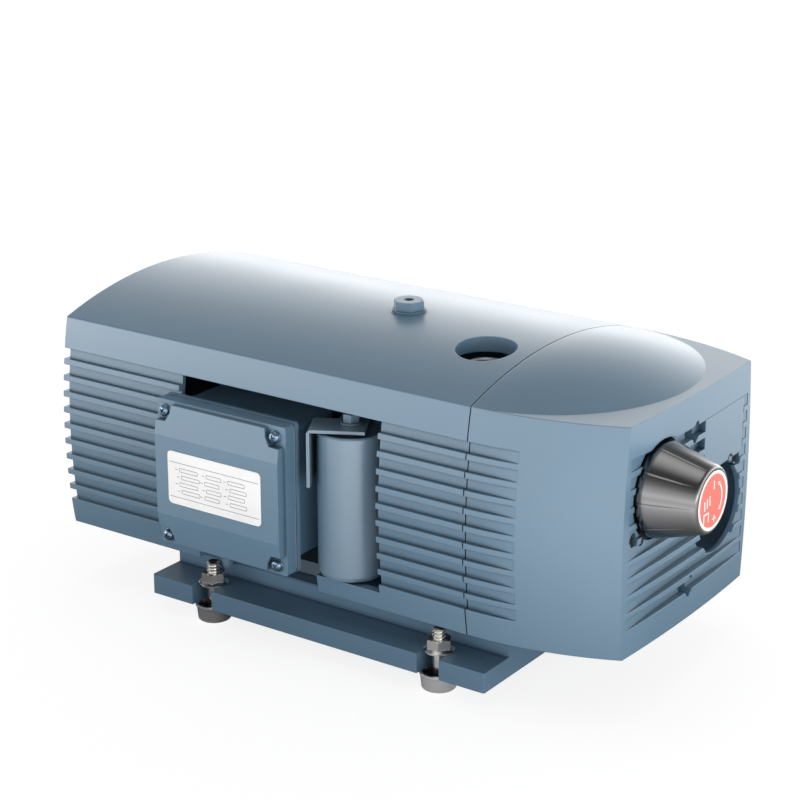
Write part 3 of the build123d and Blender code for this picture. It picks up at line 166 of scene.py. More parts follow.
def moved(piece, place=(0, 0, 0), turn=(0, 0, 0)):
    """Turn a piece by degrees about its own origin and carry it to its place."""
    piece.rotation_euler = [math.radians(a) for a in turn]
    piece.location = place
    return settle(piece)


def copy_of(piece, name):
    twin = piece.copy()
    twin.data = piece.data.copy()
    twin.name = name
    twin.data.name = name
    scene.collection.objects.link(twin)
    return twin


def joined(pieces, name):
    """Join pieces into one object."""
    bpy.ops.object.select_all(action="DESELECT")
    for piece in pieces:
        piece.select_set(True)
    bpy.context.view_layer.objects.active = pieces[0]
    bpy.ops.object.join()
    return started(name)


def cut(piece, tool):
    """Cut a tool's shape out of a piece and throw the tool away."""
    add_modifier(piece, "BOOLEAN", operation="DIFFERENCE", object=tool, solver="EXACT")
    bpy.data.objects.remove(tool)
    return piece


def slab(name, size, centre):
    """Block of a given size (x, y, z)."""
    bpy.ops.mesh.primitive_cube_add(size=1)
    piece = started(name)
    piece.scale = size
    piece.location = centre
    return settle(piece)


# Finishes: node-built materials, read in each piece's own coordinates

def finish_base(name, colour, metallic, roughness, specular=0.5, coat=0.0, coat_rough=0.2):
    """Start a finish and return it with its shader, node list and links."""
    material = bpy.data.materials.new(name)
    material.use_nodes = True
    nodes = material.node_tree.nodes
    links = material.node_tree.links
    shader = nodes["Principled BSDF"]
    shader.inputs["Base Color"].default_value = (*colour, 1)
    shader.inputs["Metallic"].default_value = metallic
    shader.inputs["Roughness"].default_value = roughness
    shader.inputs["Specular IOR Level"].default_value = specular
    shader.inputs["Coat Weight"].default_value = coat
    shader.inputs["Coat Roughness"].default_value = coat_rough
    return material, shader, nodes, links


def place_nodes(nodes, links, stretch=(1, 1, 1)):
    """Object coordinates, stretched where a grain runs one way."""
    coordinates = nodes.new("ShaderNodeTexCoord")
    mapping = nodes.new("ShaderNodeMapping")
    mapping.inputs["Scale"].default_value = stretch
    links.new(coordinates.outputs["Object"], mapping.inputs["Vector"])
    return mapping.outputs["Vector"]


def noise_of(nodes, links, vector, size, detail=3.0, rough=0.5):
    noise = nodes.new("ShaderNodeTexNoise")
    noise.inputs["Scale"].default_value = size
    noise.inputs["Detail"].default_value = detail
    noise.inputs["Roughness"].default_value = rough
    links.new(vector, noise.inputs["Vector"])
    return noise.outputs["Fac"]


def spread(nodes, links, value, low, high):
    """Map a 0 to 1 value on to a range."""
    ranger = nodes.new("ShaderNodeMapRange")
    ranger.inputs["To Min"].default_value = low
    ranger.inputs["To Max"].default_value = high
    links.new(value, ranger.inputs["Value"])
    return ranger.outputs["Result"]


def two_tone(nodes, links, value, dark, light):
    ramp = nodes.new("ShaderNodeValToRGB")
    ramp.color_ramp.elements[0].color = (*dark, 1)
    ramp.color_ramp.elements[1].color = (*light, 1)
    links.new(value, ramp.inputs["Fac"])
    return ramp.outputs["Color"]


def shades(colour, low, high):
    """A darker and a lighter shade of a colour."""
    return [c * low for c in colour], [min(1.0, c * high) for c in colour]


def vary_colour(nodes, links, shader, value, colour, low, high):
    """Let the base colour go between a darker and a lighter shade."""
    links.new(two_tone(nodes, links, value, *shades(colour, low, high)), shader.inputs["Base Color"])


def vary_roughness(nodes, links, shader, value, low, high):
    """Let the roughness go between two values."""
    links.new(spread(nodes, links, value, low, high), shader.inputs["Roughness"])


# Rays for rounded edges and for the painted crease shade, and how far and how dark that painted shade goes
SOFT_RAYS = 6
CREASE_REACH = 7 * MM
CREASE_CLOSED = 0.35
CREASE_OPEN = 0.90
PAINTED_CREASE_SHADE = 0.36


def relief(nodes, links, shader, height, strength, depth, edge=0.0):
    """Fine relief on the surface, with edges rounded by a small radius."""
    bump = nodes.new("ShaderNodeBump")
    bump.inputs["Strength"].default_value = strength
    bump.inputs["Distance"].default_value = depth
    links.new(height, bump.inputs["Height"])
    if edge:
        rounded = nodes.new("ShaderNodeBevel")
        rounded.samples = SOFT_RAYS
        rounded.inputs["Radius"].default_value = edge
        links.new(rounded.outputs["Normal"], bump.inputs["Normal"])
    links.new(bump.outputs["Normal"], shader.inputs["Normal"])


def painted_crease_shade(nodes, links, colour):
    """Paint shade into a colour in narrow creases, found by ambient occlusion, and return it with the share
    left unshaded.
    """
    crease = nodes.new("ShaderNodeAmbientOcclusion")
    crease.samples = SOFT_RAYS
    crease.inputs["Distance"].default_value = CREASE_REACH
    ranger = nodes.new("ShaderNodeMapRange")
    ranger.inputs["From Min"].default_value = CREASE_CLOSED
    ranger.inputs["From Max"].default_value = CREASE_OPEN
    ranger.inputs["To Min"].default_value = PAINTED_CREASE_SHADE
    links.new(crease.outputs["AO"], ranger.inputs["Value"])
    shade = nodes.new("ShaderNodeVectorMath")
    shade.operation = "SCALE"
    links.new(colour, shade.inputs[0])
    links.new(ranger.outputs["Result"], shade.inputs["Scale"])
    return shade.outputs["Vector"], ranger.outputs["Result"]


def painted(name, colour, roughness, edge, coat=0.3, specular=1.0):
    """Satin stoved paint: a fine orange peel and slow changes of tone, with painted shade darkening the
    colour and taking away reflection in creases.
    """
    material, shader, nodes, links = finish_base(name, colour, 0.0, roughness, specular, coat, 0.25)
    place = place_nodes(nodes, links)
    cloud = noise_of(nodes, links, place, size=14.0, detail=3.0)
    tones = two_tone(nodes, links, cloud, *shades(colour, 0.95, 1.05))
    # Painted shade: ambient occlusion darkens the colour in creases and takes away reflection and coat there
    tone, unshaded_share = painted_crease_shade(nodes, links, tones)
    links.new(tone, shader.inputs["Base Color"])
    links.new(spread(nodes, links, unshaded_share, 0.0, specular), shader.inputs["Specular IOR Level"])
    links.new(spread(nodes, links, unshaded_share, 0.0, coat), shader.inputs["Coat Weight"])
    peel = noise_of(nodes, links, place, size=900.0, detail=2.0)
    vary_roughness(nodes, links, shader, cloud, roughness - 0.03, roughness + 0.05)
    relief(nodes, links, shader, peel, strength=0.12, depth=0.03 * MM, edge=edge)
    return material


def metal(name, colour, roughness, grain=(1, 1, 1), size=1600.0, edge=0.15 * MM, tone=0.03):
    """Bright or ground metal, with the marks of its making along one axis."""
    material, shader, nodes, links = finish_base(name, colour, 1.0, roughness)
    place = place_nodes(nodes, links, grain)
    marks = noise_of(nodes, links, place, size, detail=4.0)
    vary_colour(nodes, links, shader, marks, colour, 1 - tone, 1 + tone)
    vary_roughness(nodes, links, shader, marks, roughness - 0.03, roughness + 0.05)
    relief(nodes, links, shader, marks, strength=0.06, depth=0.01 * MM, edge=edge)
    return material


def cast(name, colour, roughness, metallic, edge=0.8 * MM):
    """Sand or pressure casting: a grainy skin with slow changes of tone."""
    material, shader, nodes, links = finish_base(name, colour, metallic, roughness)
    place = place_nodes(nodes, links)
    skin = noise_of(nodes, links, place, size=420.0, detail=5.0, rough=0.6)
    cloud = noise_of(nodes, links, place, size=25.0, detail=3.0)
    vary_colour(nodes, links, shader, cloud, colour, 0.8, 1.15)
    vary_roughness(nodes, links, shader, skin, roughness - 0.08, roughness + 0.12)
    relief(nodes, links, shader, skin, strength=0.3, depth=0.12 * MM, edge=edge)
    return material


def moulded(name, colour, roughness, edge=0.3 * MM):
    """Moulded plastic or rubber: a fine even grain."""
    material, shader, nodes, links = finish_base(name, colour, 0.0, roughness)
    place = place_nodes(nodes, links)
    grain = noise_of(nodes, links, place, size=1400.0, detail=2.0)
    cloud = noise_of(nodes, links, place, size=40.0, detail=2.0)
    vary_colour(nodes, links, shader, cloud, colour, 0.9, 1.1)
    vary_roughness(nodes, links, shader, grain, roughness - 0.04, roughness + 0.06)
    relief(nodes, links, shader, grain, strength=0.15, depth=0.02 * MM, edge=edge)
    return material


# Length of one wave of the wave texture at scale 1, in metres
WAVE_LENGTH = 0.314


def stacked(name, colour, pitch):
    """Thin sheets or pleats stacked along the X axis."""
    material, shader, nodes, links = finish_base(name, colour, 0.5, 0.45)
    place = place_nodes(nodes, links, (1, 0, 0))
    wave = nodes.new("ShaderNodeTexWave")
    wave.bands_direction = "X"
    wave.inputs["Scale"].default_value = WAVE_LENGTH / pitch
    wave.inputs["Distortion"].default_value = 0.4
    links.new(place, wave.inputs["Vector"])
    vary_colour(nodes, links, shader, wave.outputs["Fac"], colour, 0.55, 1.0)
    relief(nodes, links, shader, wave.outputs["Fac"], strength=0.5, depth=0.1 * MM)
    return material


# Each finish with its colour and roughness, and where it needs them, its edge radius, coat and grain
HOOD_BLUE = (0.105, 0.200, 0.290)
hood_paint = painted("hood_paint", HOOD_BLUE, 0.40, 0.9 * MM)
cap_paint = painted("cap_paint", HOOD_BLUE, 0.38, 1.5 * MM)
plate_paint = painted("plate_paint", (0.095, 0.175, 0.260), 0.48, 0.7 * MM, coat=0.0, specular=0.5)
box_paint = painted("box_paint", HOOD_BLUE, 0.42, 0.7 * MM, coat=0.15)
can_finish = painted("can_finish", (0.16, 0.25, 0.34), 0.30, 0.4 * MM, coat=0.5)
strip_paint = painted("strip_paint", (0.17, 0.25, 0.33), 0.38, 0.3 * MM, coat=0.1)
bright_zinc = metal("bright_zinc", (0.80, 0.77, 0.73), 0.20, grain=(1, 1, 0.3))
dark_cup = metal("dark_cup", (0.90, 0.90, 0.91), 0.30, grain=(1, 1, 0.2))
ground_steel = metal("ground_steel", (0.56, 0.57, 0.58), 0.3, grain=(0.1, 1, 1))
spring_steel = metal("spring_steel", (0.45, 0.46, 0.48), 0.32)
screw_zinc = metal("screw_zinc", (0.20, 0.29, 0.38), 0.28)
plain_brass = metal("plain_brass", (0.70, 0.50, 0.22), 0.3)
copper_wire = metal("copper_wire", (0.62, 0.25, 0.12), 0.4, (0.2, 1, 1), 1200.0, edge=0.5 * MM, tone=0.3)
knob_gloss = metal("knob_gloss", (0.215, 0.215, 0.218), 0.20, grain=(0.3, 1, 1), edge=0.5 * MM)
dark_casting = cast("dark_casting", (0.10, 0.14, 0.18), 0.5, 0.2)
grey_iron = cast("grey_iron", (0.17, 0.17, 0.18), 0.45, 0.8)
black_rubber = moulded("black_rubber", (0.018, 0.018, 0.019), 0.7)
black_moulding = moulded("black_moulding", (0.028, 0.029, 0.032), 0.42)
grey_gasket = moulded("grey_gasket", (0.34, 0.37, 0.40), 0.6)
dull_carbon = moulded("dull_carbon", (0.03, 0.03, 0.032), 0.5)
white_plate = moulded("white_plate", (0.93, 0.93, 0.93), 0.5, 0.1 * MM)
grey_print = moulded("grey_print", (0.16, 0.165, 0.17), 0.6, 0.05 * MM)
salmon_disc = moulded("salmon_disc", (0.92, 0.155, 0.118), 0.42, 0.2 * MM)
disc_print = moulded("disc_print", (0.93, 0.93, 0.93), 0.45, 0.05 * MM)
# Near-black rough finish for the pads behind the cap's lobes: painted shade standing in for the pump's dark
# inside
black_shade_backing = moulded("black_shade_backing", (0.012, 0.013, 0.015), 0.9)
sheet_stack = stacked("sheet_stack", (0.40, 0.41, 0.42), 0.5 * MM)
paper_pleats = stacked("paper_pleats", (0.80, 0.75, 0.60), 2.5 * MM)

FINISH = {
    hood_paint: "hood",
    cap_paint: "front_cap",
    plate_paint: "base_plate",
    box_paint: "terminal_box terminal_cover cable_gland lifting_boss",
    can_finish: "capacitor capacitor_nut",
    strip_paint: "capacitor_bracket",
    bright_zinc: "foot_studs foot_nuts cap_screws terminal_screws motor_bolts shield_screws"
                 " pump_bolts bracket_bolt",
    dark_cup: "foot_cups",
    plain_brass: "terminal_studs adjusting_nut valve_body",
    ground_steel: "shaft shaft_keys bearing_outer_rings bearing_inner_rings valve_stem spring_seat"
                  " inlet_port",
    spring_steel: "valve_spring hood_brackets",
    copper_wire: "stator_windings",
    dark_casting: "motor_frame motor_shield_front motor_shield_rear filter_housing intake_lid outlet_lid"
                  " fan_housing lifting_pillar",
    grey_iron: "pump_cylinder pump_back_plate pump_front_plate pump_rotor",
    black_rubber: "foot_pads hood_buffers",
    grey_gasket: "terminal_gasket",
    black_moulding: "rear_fan cooling_fan rear_grille fan_cowl terminal_block",
    dull_carbon: "vanes",
    sheet_stack: "stator_core motor_rotor",
    paper_pleats: "intake_filter outlet_filter",
    knob_gloss: "regulator_knob",
    salmon_disc: "knob_disc",
    white_plate: "data_plate",
}


def dress(piece, material):
    piece.data.materials.clear()
    piece.data.materials.append(material)
    return piece


for material, names in FINISH.items():
    for name in names.split():
        dress(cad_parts[name], material)


def hand_over(piece, material, body, slot, *nodes):
    """Finish a piece: its material, the body it rides on and the nodes it stands for; the slot argument is
    not used.
    """
    settle(piece)
    dress(piece, material)
    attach(piece, body)
    if nodes:
        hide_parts(*nodes)
    return piece


# Studio: a pale floor, a white surround and two soft lamps.
# The surround's brightness by the sine of the height angle, from the horizon up, and straight above
BAND_POWER = 3.8
BAND = [(0.09, 1.0), (0.20, 0.62), (0.34, 0.52), (0.50, 0.20), (0.72, 0.06), (0.88, 0.06)]
ZENITH = 0.48
# Share of that light on the terminal box's side, and how softly it changes to the full light behind
NEAR_SIDE = 0.55
SIDE_BLEND = 0.35
# Sockets of a mix node that mixes colours
MIX_SHARE = 0
MIX_FIRST = 6
MIX_SECOND = 7
MIX_RESULT = 2


def surround():
    """White for the camera; for the rest a bright horizon, stronger behind the pump, under a dim sky."""
    world = bpy.data.worlds.new("studio")
    scene.world = world
    world.use_nodes = True
    nodes = world.node_tree.nodes
    links = world.node_tree.links
    background = nodes["Background"]
    way = nodes.new("ShaderNodeTexCoord")
    split = nodes.new("ShaderNodeSeparateXYZ")
    links.new(way.outputs["Generated"], split.inputs["Vector"])
    ramp = nodes.new("ShaderNodeValToRGB")
    links.new(split.outputs["Z"], ramp.inputs["Fac"])
    stops = ramp.color_ramp.elements
    stops[0].position = 0.0
    stops[0].color = (1, 1, 1, 1)
    stops[1].position = 1.0
    stops[1].color = (ZENITH, ZENITH, ZENITH, 1)
    for place, value in BAND:
        stop = stops.new(place)
        stop.color = (value, value, value, 1)
    sides = nodes.new("ShaderNodeMapRange")
    sides.inputs["From Min"].default_value = -SIDE_BLEND
    sides.inputs["From Max"].default_value = SIDE_BLEND
    sides.inputs["To Min"].default_value = NEAR_SIDE
    links.new(split.outputs["Y"], sides.inputs["Value"])
    shaded = nodes.new("ShaderNodeVectorMath")
    shaded.operation = "SCALE"
    links.new(ramp.outputs["Color"], shaded.inputs[0])
    links.new(sides.outputs["Result"], shaded.inputs["Scale"])
    path = nodes.new("ShaderNodeLightPath")
    mix = nodes.new("ShaderNodeMix")
    mix.data_type = "RGBA"
    links.new(path.outputs["Is Camera Ray"], mix.inputs[MIX_SHARE])
    links.new(shaded.outputs["Vector"], mix.inputs[MIX_FIRST])
    mix.inputs[MIX_SECOND].default_value = (1 / BAND_POWER, 1 / BAND_POWER, 1 / BAND_POWER, 1)
    links.new(mix.outputs[MIX_RESULT], background.inputs["Color"])
    background.inputs["Strength"].default_value = BAND_POWER


FLOOR_SIZE = 12.0
FLOOR_GREY = (0.25, 0.25, 0.25)
FLOOR_SHADE = (0.27, 0.27, 0.27)
FLOOR_GLOW = 0.83
# The floor's light for all but the camera: a centre, two distances from it and the light at each
FLOOR_LIGHTS = [((0, 0, 0), 0.28, 0.95, 0.0, 1.2), ((0.42, -0.55, 0.0), 0.15, 0.65, 0.9, 0.0)]


def floor():
    """Pale floor, nearly white to the camera; for the rest it glows round the pump and in one patch."""
    bpy.ops.mesh.primitive_plane_add(size=FLOOR_SIZE)
    ground = started("studio_floor")
    material, shader, nodes, links = finish_base("studio_floor", FLOOR_GREY, 0.0, 0.8, 0.0)
    path = nodes.new("ShaderNodeLightPath")
    glow = nodes.new("ShaderNodeEmission")
    glow.inputs["Strength"].default_value = FLOOR_GLOW
    pale = nodes.new("ShaderNodeBsdfDiffuse")
    pale.inputs["Color"].default_value = (*FLOOR_SHADE, 1)
    add = nodes.new("ShaderNodeAddShader")
    mix = nodes.new("ShaderNodeMixShader")
    place = place_nodes(nodes, links)
    total = nodes.new("ShaderNodeMath")
    for slot, (centre, near, far, low, high) in enumerate(FLOOR_LIGHTS):
        reach = nodes.new("ShaderNodeVectorMath")
        reach.operation = "DISTANCE"
        reach.inputs[1].default_value = centre
        links.new(place, reach.inputs[0])
        ring = nodes.new("ShaderNodeMapRange")
        ring.interpolation_type = "SMOOTHSTEP"
        ring.inputs["From Min"].default_value = near
        ring.inputs["From Max"].default_value = far
        ring.inputs["To Min"].default_value = low
        ring.inputs["To Max"].default_value = high
        links.new(reach.outputs["Value"], ring.inputs["Value"])
        links.new(ring.outputs["Result"], total.inputs[slot])
    links.new(total.outputs["Value"], shader.inputs["Emission Strength"])
    shader.inputs["Emission Color"].default_value = (1, 1, 1, 1)
    links.new(path.outputs["Is Camera Ray"], mix.inputs["Fac"])
    links.new(shader.outputs["BSDF"], mix.inputs[1])
    links.new(pale.outputs["BSDF"], add.inputs[0])
    links.new(glow.outputs["Emission"], add.inputs[1])
    links.new(add.outputs["Shader"], mix.inputs[2])
    links.new(mix.outputs["Shader"], nodes["Material Output"].inputs["Surface"])
    dress(ground, material)


# Lamps: name, place, the point it looks at, size in metres and power in watts
LAMPS = [("lamp_left", (-1.9, -1.5, 0.35), (0.0, 0.0, 0.15), (1.0, 0.6), 7.0),
         ("lamp_right", (2.2, -0.9, 0.45), (0.2, 0.0, 0.15), (1.2, 0.7), 6.5)]


def lamp(name, place, target, size, power):
    data = bpy.data.lights.new(name, "AREA")
    data.shape = "RECTANGLE"
    data.size, data.size_y = size
    data.energy = power
    light = bpy.data.objects.new(name, data)
    scene.collection.objects.link(light)
    light.location = place
    light.visible_camera = False
    light.rotation_euler = (Vector(target) - Vector(place)).to_track_quat("-Z", "Y").to_euler()


surround()
floor()
for values in LAMPS:
    lamp(*values)


# Feet: studs with a coarse rolled thread above the nut
SMALL_STEPS = 40
STUD_X = (-0.11795, 0.11795)
STUD_Y = 0.1246
STUD_R = 5.95 * MM
ROOT_R = STUD_R - 1.0 * MM
TIP_R = STUD_R - 1.6 * MM
STUD_LOW = 0.3 * MM
STUD_TOP = 52.9 * MM
TIP_LOW = STUD_TOP - 1.2 * MM
THREAD_TOP = STUD_TOP - 0.6 * MM
NUT_TOP = 43.5 * MM
SHANK_TOP = NUT_TOP - 2 * MM
THREAD_LOW = NUT_TOP - 4 * MM
THREAD_PITCH = 2.9 * MM
TAP_R = 3.4 * MM
TAP_DEPTH = 12.0 * MM
TAP_POINT = TAP_DEPTH + 2 * MM
STUD_EDGE = 0.3 * MM


def thread(name, root, crest, pitch, low, high):
    """Wind one pitch of a thread's profile into a helix and trim both ends square."""
    outline = [(root, 0), (root, pitch * 0.12), (crest, pitch * 0.42), (crest, pitch * 0.62),
               (root, pitch * 0.92), (root, pitch)]
    turns = math.ceil((high - low) / pitch) + 2
    coil = line_of(outline, name)
    add_modifier(coil, "SCREW", steps=SMALL_STEPS, render_steps=SMALL_STEPS, screw_offset=pitch,
                 iterations=turns, use_merge_vertices=False)
    outward(coil)
    moved(coil, (0, 0, low - pitch * 1.2))
    for height, upper in ((high, True), (low, False)):
        edit()
        bpy.ops.mesh.select_all(action="SELECT")
        bpy.ops.mesh.bisect(plane_co=(0, 0, height), plane_no=(0, 0, 1), use_fill=True,
                            clear_outer=upper, clear_inner=not upper)
        done()
    return outward(coil)


def foot_stud(name):
    """Plain shank tapped from below, with a threaded and chamfered upper end."""
    shank = turned([(0, TAP_POINT), (TAP_R, TAP_DEPTH), (TAP_R, STUD_LOW), (STUD_R, STUD_LOW),
                    (STUD_R, SHANK_TOP), (0, SHANK_TOP)], name, SMALL_STEPS)
    soften(shank, STUD_EDGE)
    winding = thread("winding", ROOT_R, STUD_R, THREAD_PITCH, THREAD_LOW, THREAD_TOP)
    tip = turned([(0, TIP_LOW), (ROOT_R, TIP_LOW), (ROOT_R, THREAD_TOP), (TIP_R, STUD_TOP), (0, STUD_TOP)],
                 "tip", SMALL_STEPS)
    return joined([shank, winding, tip], name)


def make_feet():
    first = foot_stud("foot_stud_shape")
    smooth(first, 40)
    studs = []
    for x in STUD_X:
        for y in (-STUD_Y, STUD_Y):
            studs.append(moved(copy_of(first, "stud"), (x, y, 0)))
    bpy.data.objects.remove(first)
    hand_over(joined(studs, "threaded_studs"), bright_zinc, "pump_body", "zinc", "foot_studs")


# Terminal cover: pan-head screws with cross recesses, on plain washers; the outlines are in mm
SCREW_PLACES = [(x, z) for x in (-0.13785, -0.02125) for z in (0.0842, 0.1966)]
SCREW_TURN = 23
COVER_STEP_Y = -0.157
HEAD_OUTLINE = [(0, -4.7), (1.8, -4.6), (3.4, -4.1), (4.6, -3.1), (5.1, -2.0), (5.1, -1.0), (2.5, -1.0),
                (2.5, 15.0), (0, 15.0)]
WASHER_OUTLINE = [(2.7, 0), (5.8, 0), (5.8, -0.8), (5.6, -1.0), (2.7, -1.0), (2.7, 0)]
HEAD_EDGE = 0.15 * MM
RECESS = (6.8 * MM, 1.7 * MM, 3.8 * MM)
RECESS_PLACE = (0, 0, -3.8 * MM)
RECESS_TURNS = (12, 102)
RECESS_TAPER = (0.55, 0.5)


def cover_screw(name):
    head = turned(in_mm(HEAD_OUTLINE), name, SMALL_STEPS)
    for turn in RECESS_TURNS:
        blade = slab("blade", RECESS, (0, 0, 0))
        for corner in blade.data.vertices:
            if corner.co.z > 0:
                corner.co.x *= RECESS_TAPER[0]
                corner.co.y *= RECESS_TAPER[1]
        cut(head, moved(blade, RECESS_PLACE, (0, 0, turn)))
    soften(head, HEAD_EDGE, 2, 40)
    washer = turned(in_mm(WASHER_OUTLINE), "washer", SMALL_STEPS)
    return joined([head, washer], name)


def make_cover_screws():
    first = cover_screw("screw_shape")
    smooth(first, 35)
    screws = []
    for number, (x, z) in enumerate(SCREW_PLACES):
        spun = moved(copy_of(first, "screw"), (0, 0, 0), (0, 0, SCREW_TURN * number))
        screws.append(moved(spun, (x, COVER_STEP_Y, z), (-90, 0, 0)))
    bpy.data.objects.remove(first)
    hand_over(joined(screws, "cover_screws"), screw_zinc, "pump_body", "zinc", "terminal_screws")


# Data plate: plain ruled lines and empty boxes, and no words
PLATE_FRONT_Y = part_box("data_plate")[0][1]
PRINT_PROUD = 0.06 * MM
PLATE_FACE_Y = PLATE_FRONT_Y + PRINT_PROUD / 2
BLANK_FRONT_Y = PLATE_FRONT_Y + PRINT_PROUD * 0.7
PLATE_CENTRE = (-0.08055, 0.1417)
LINE_WIDTH = 0.45 * MM
RULE_LENGTH = 95.0 * MM
RULE_HEIGHTS = (14.0 * MM, -17.0 * MM)
# Rows of empty boxes: how many, the first one's height and the step down to the next
ROWS = 4
ROW_TOP = 8.0 * MM
ROW_STEP = 6.4 * MM
ROW_SHIFT = 2.0 * MM
# Each column's middle and its boxes' width
COLUMNS = [(-27.0 * MM, 20.0 * MM), (-2.0 * MM, 16.0 * MM), (24.0 * MM, 18.0 * MM)]
BOX_HEIGHT = 3.6 * MM
# The dash before each box
DASH = (2.6 * MM, 0.5 * MM)
DASH_GAP = 3.2 * MM


def print_bar(x, z, width, height):
    """Thin printed bar on the plate, placed from the plate's middle."""
    return slab("bar", (width, PRINT_PROUD, height), (PLATE_CENTRE[0] + x, PLATE_FACE_Y, PLATE_CENTRE[1] + z))


def print_box(x, z, width, height):
    """Empty printed box: a plate inset to its line, with the middle taken out."""
    bpy.ops.mesh.primitive_plane_add(size=1)
    box = started("field")
    box.scale = (width, height, 1)
    settle(box)
    edit()
    bpy.ops.mesh.select_all(action="SELECT")
    bpy.ops.mesh.bevel(offset=height * 0.3, segments=3, affect="VERTICES")
    bpy.ops.mesh.select_all(action="SELECT")
    bpy.ops.mesh.inset(thickness=LINE_WIDTH)
    bpy.ops.mesh.delete(type="FACE")
    done()
    add_modifier(box, "SOLIDIFY", thickness=PRINT_PROUD, offset=0)
    return moved(box, (PLATE_CENTRE[0] + x, PLATE_FACE_Y, PLATE_CENTRE[1] + z), (90, 0, 0))


def make_plate_print():
    """Set the plate's front back by the thickness of the print, and lay the print on it."""
    blank = copy_of(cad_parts["data_plate"], "blank_plate")
    for corner in blank.data.vertices:
        corner.co.y = max(corner.co.y, BLANK_FRONT_Y)
    hand_over(blank, white_plate, "pump_body", "plate", "data_plate")
    marks = [print_bar(0, z, RULE_LENGTH, LINE_WIDTH) for z in RULE_HEIGHTS]
    for row in range(ROWS):
        z = ROW_TOP - row * ROW_STEP
        for column, (x, width) in enumerate(COLUMNS):
            shift = ((row + column) % 2) * ROW_SHIFT
            marks.append(print_box(x + shift, z, width, BOX_HEIGHT))
            marks.append(print_bar(x + shift - width / 2 - DASH_GAP, z, *DASH))
    hand_over(joined(marks, "plate_print"), grey_print, "pump_body", "plate")


# Regulating knob: a turned cone with ten fine parting grooves, and its red disc with plain strokes
KNOB_Y = -0.050
KNOB_Z = 0.1835
KNOB_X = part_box("regulator_knob")[0][0]
KNOB_END_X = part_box("regulator_knob")[1][0]
DISC_FACE_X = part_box("knob_disc")[1][0]
KNOB_LENGTH = KNOB_END_X - KNOB_X
DISC_FACE = DISC_FACE_X - KNOB_X
KNOB_STEPS = 360
DISC_STEPS = 96
# Outline in mm: radius and distance back from the knob's end, then radius and distance from its rear,
# then the closed bottom of its hollow, again from the end
KNOB_NOSE = [(0, 1.2), (24.2, 1.2), (24.2, 0.2), (25.0, 0), (25.9, 0.2), (26.9, 1.0), (27.6, 2.2),
             (28.1, 3.8), (31.4, 15.0), (34.7, 26.0), (37.3, 34.8), (38.1, 37.6), (38.6, 39.6), (38.8, 41.8)]
KNOB_REAR = [(38.8, 6.0), (38.8, 1.2), (38.4, 0.4), (37.6, 0), (34.2, 0), (33.6, 13.0)]
KNOB_HOLLOW = [(22.0, 9.0), (0, 9.0)]
KNOB_GROOVES = 10
GROOVE_DEPTH = 0.32 * MM
GROOVE_HALF = math.radians(0.4)
# Grooves run from this far off the knob's rear to this far from its end
GROOVE_LOW = 0.2 * MM
GROOVE_STOP = 5.0 * MM
# A cone between the knob's outer skin and its inner wall: radius at the rear and narrowing per metre
BETWEEN_R = 35.0 * MM
BETWEEN_CONE = 0.1


def on_knob(piece):
    """Carry a piece drawn round the Z axis on to the knob's axis, which runs along X."""
    return moved(piece, (KNOB_X, KNOB_Y, KNOB_Z), (0, 90, 0))


def make_knob():
    end = KNOB_LENGTH / MM
    outline = [(r, end - back) for r, back in KNOB_NOSE] + KNOB_REAR
    outline += [(r, end - back) for r, back in KNOB_HOLLOW]
    knob = turned(in_mm(outline), "fine_knob", KNOB_STEPS)
    step = 2 * math.pi / KNOB_GROOVES
    for corner in knob.data.vertices:
        r = math.hypot(corner.co.x, corner.co.y)
        z = corner.co.z
        if GROOVE_LOW < z < KNOB_LENGTH - GROOVE_STOP and r > BETWEEN_R - z * BETWEEN_CONE:
            turn = (math.atan2(corner.co.y, corner.co.x) + step / 2) % step
            if min(turn, step - turn) < GROOVE_HALF:
                corner.co.x *= 1 - GROOVE_DEPTH / r
                corner.co.y *= 1 - GROOVE_DEPTH / r
    smooth(on_knob(knob), 30)
    hand_over(knob, knob_gloss, "knob", "knob", "regulator_knob")


PRINT_T = 0.12 * MM
DISC_R = 23.6 * MM
DISC_RIM_R = 23.4 * MM
DISC_T = 1.6 * MM
RING_OUT = 23.9 * MM
RING_IN = 21.3 * MM
# Bars on the disc in mm: right and up from its centre, width, height and lean in degrees
DISC_BARS = [(1.0, 12.5, 1.1, 7.0, 0), (3.0, -15.5, 1.1, 5.6, 0), (3.0, -15.5, 5.6, 1.1, 0),
             (-13.5, -1.0, 1.3, 8.0, 4), (-9.3, 0.2, 1.3, 8.0, 4), (-5.1, 1.4, 1.3, 8.0, 4),
             (-10.5, -8.0, 9.0, 1.1, 0), (-14.0, -12.0, 1.1, 7.0, 0), (-6.6, -12.0, 1.1, 7.0, 0)]
# Curved arrow: outer, inner and middle radius, size of its heads, and the angle of its upper and lower end
ARC_OUT = 15.6 * MM
ARC_IN = 14.2 * MM
ARC_R = 14.9 * MM
HEAD_R = 2.2 * MM
ARC_ENDS = [(52, True), (-38, False)]


def bar(right, up, width, height, lean):
    """Printed bar on the disc, measured to the right and up from the disc's centre, in mm."""
    mark = slab("bar", (PRINT_T * 2, width * MM, height * MM), (0, 0, 0))
    return moved(mark, (DISC_FACE_X - PRINT_T, KNOB_Y + right * MM, KNOB_Z + up * MM), (lean, 0, 0))


def ring(r_out, r_in, name):
    """Thin flat ring, its face flush with the end of the part."""
    inner = DISC_FACE - PRINT_T * 2
    return turned([(r_in, DISC_FACE), (r_out, DISC_FACE), (r_out, inner), (r_in, inner), (r_in, DISC_FACE)],
                  name, DISC_STEPS)


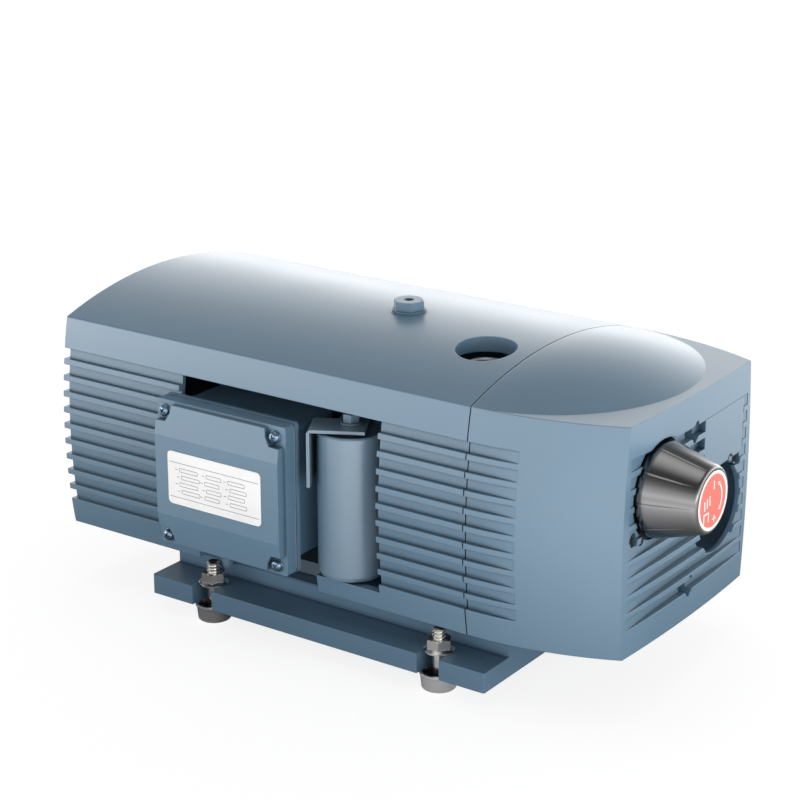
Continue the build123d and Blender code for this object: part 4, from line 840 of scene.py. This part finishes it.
def arc_arrow():
    """Curved arrow with a head at each end, cut from a ring."""
    band = on_knob(ring(ARC_OUT, ARC_IN, "band"))
    only(band)
    edit()
    centre = Vector((DISC_FACE_X, KNOB_Y, KNOB_Z))
    for angle, upper in ARC_ENDS:
        a = math.radians(angle)
        normal = Vector((0, -math.sin(a), math.cos(a)))
        bpy.ops.mesh.select_all(action="SELECT")
        bpy.ops.mesh.bisect(plane_co=centre, plane_no=normal, use_fill=True, clear_outer=upper,
                            clear_inner=not upper)
    done()
    heads = []
    for angle, upper in ARC_ENDS:
        a = math.radians(angle)
        bpy.ops.mesh.primitive_cylinder_add(vertices=3, radius=HEAD_R, depth=PRINT_T * 2)
        head = settle(started("head"))
        place = (DISC_FACE_X - PRINT_T, KNOB_Y + ARC_R * math.cos(a), KNOB_Z + ARC_R * math.sin(a))
        tilt = angle if upper else angle + 180
        moved(head, (0, 0, 0), (90, 0, 90))
        heads.append(moved(head, place, (tilt, 0, 0)))
    return [band] + heads


def make_disc():
    disc = turned([(0, DISC_FACE - PRINT_T), (DISC_RIM_R, DISC_FACE - PRINT_T),
                   (DISC_R, DISC_FACE - PRINT_T * 2.5), (DISC_R, DISC_FACE - DISC_T),
                   (0, DISC_FACE - DISC_T)], "red_disc", DISC_STEPS)
    smooth(on_knob(disc), 30)
    hand_over(disc, salmon_disc, "knob", "disc", "knob_disc")
    marks = [on_knob(ring(RING_OUT, RING_IN, "rim_ring"))]
    marks += [bar(*values) for values in DISC_BARS]
    marks += arc_arrow()
    hand_over(joined(marks, "disc_marks"), disc_print, "knob", "disc")


# Near-black pads behind the small lobes of the front, so that no light comes through the cap: a dark sheet
# standing in for the shade inside the pump, a painted shade
LOBE_PLACES = [(-0.086, 0.149), (-0.071, 0.143), (0.0905, 0.1685), (0.0715, 0.1765)]
CAP_INSIDE_X = 0.2692
PAD_X = CAP_INSIDE_X - 1.6 * MM
PAD_R = 9.5 * MM
PAD_T = 3 * MM


def make_shade_pads():
    pads = []
    for y, z in LOBE_PLACES:
        bpy.ops.mesh.primitive_cylinder_add(vertices=32, radius=PAD_R, depth=PAD_T)
        pad = settle(started("pad"))
        pads.append(moved(pad, (PAD_X, y, z), (0, 90, 0)))
    # The pads' near-black is painted shade, so that the lobes show dark
    hand_over(joined(pads, "shade_pads"), black_shade_backing, "pump_body", "rubber")


def make_spring():
    spring = copy_of(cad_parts["valve_spring"], "shortening_spring")
    hand_over(spring, spring_steel, "pump_body", "steel", "valve_spring")
    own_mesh(spring)


make_feet()
make_cover_screws()
make_plate_print()
make_knob()
make_disc()
make_shade_pads()
make_spring()
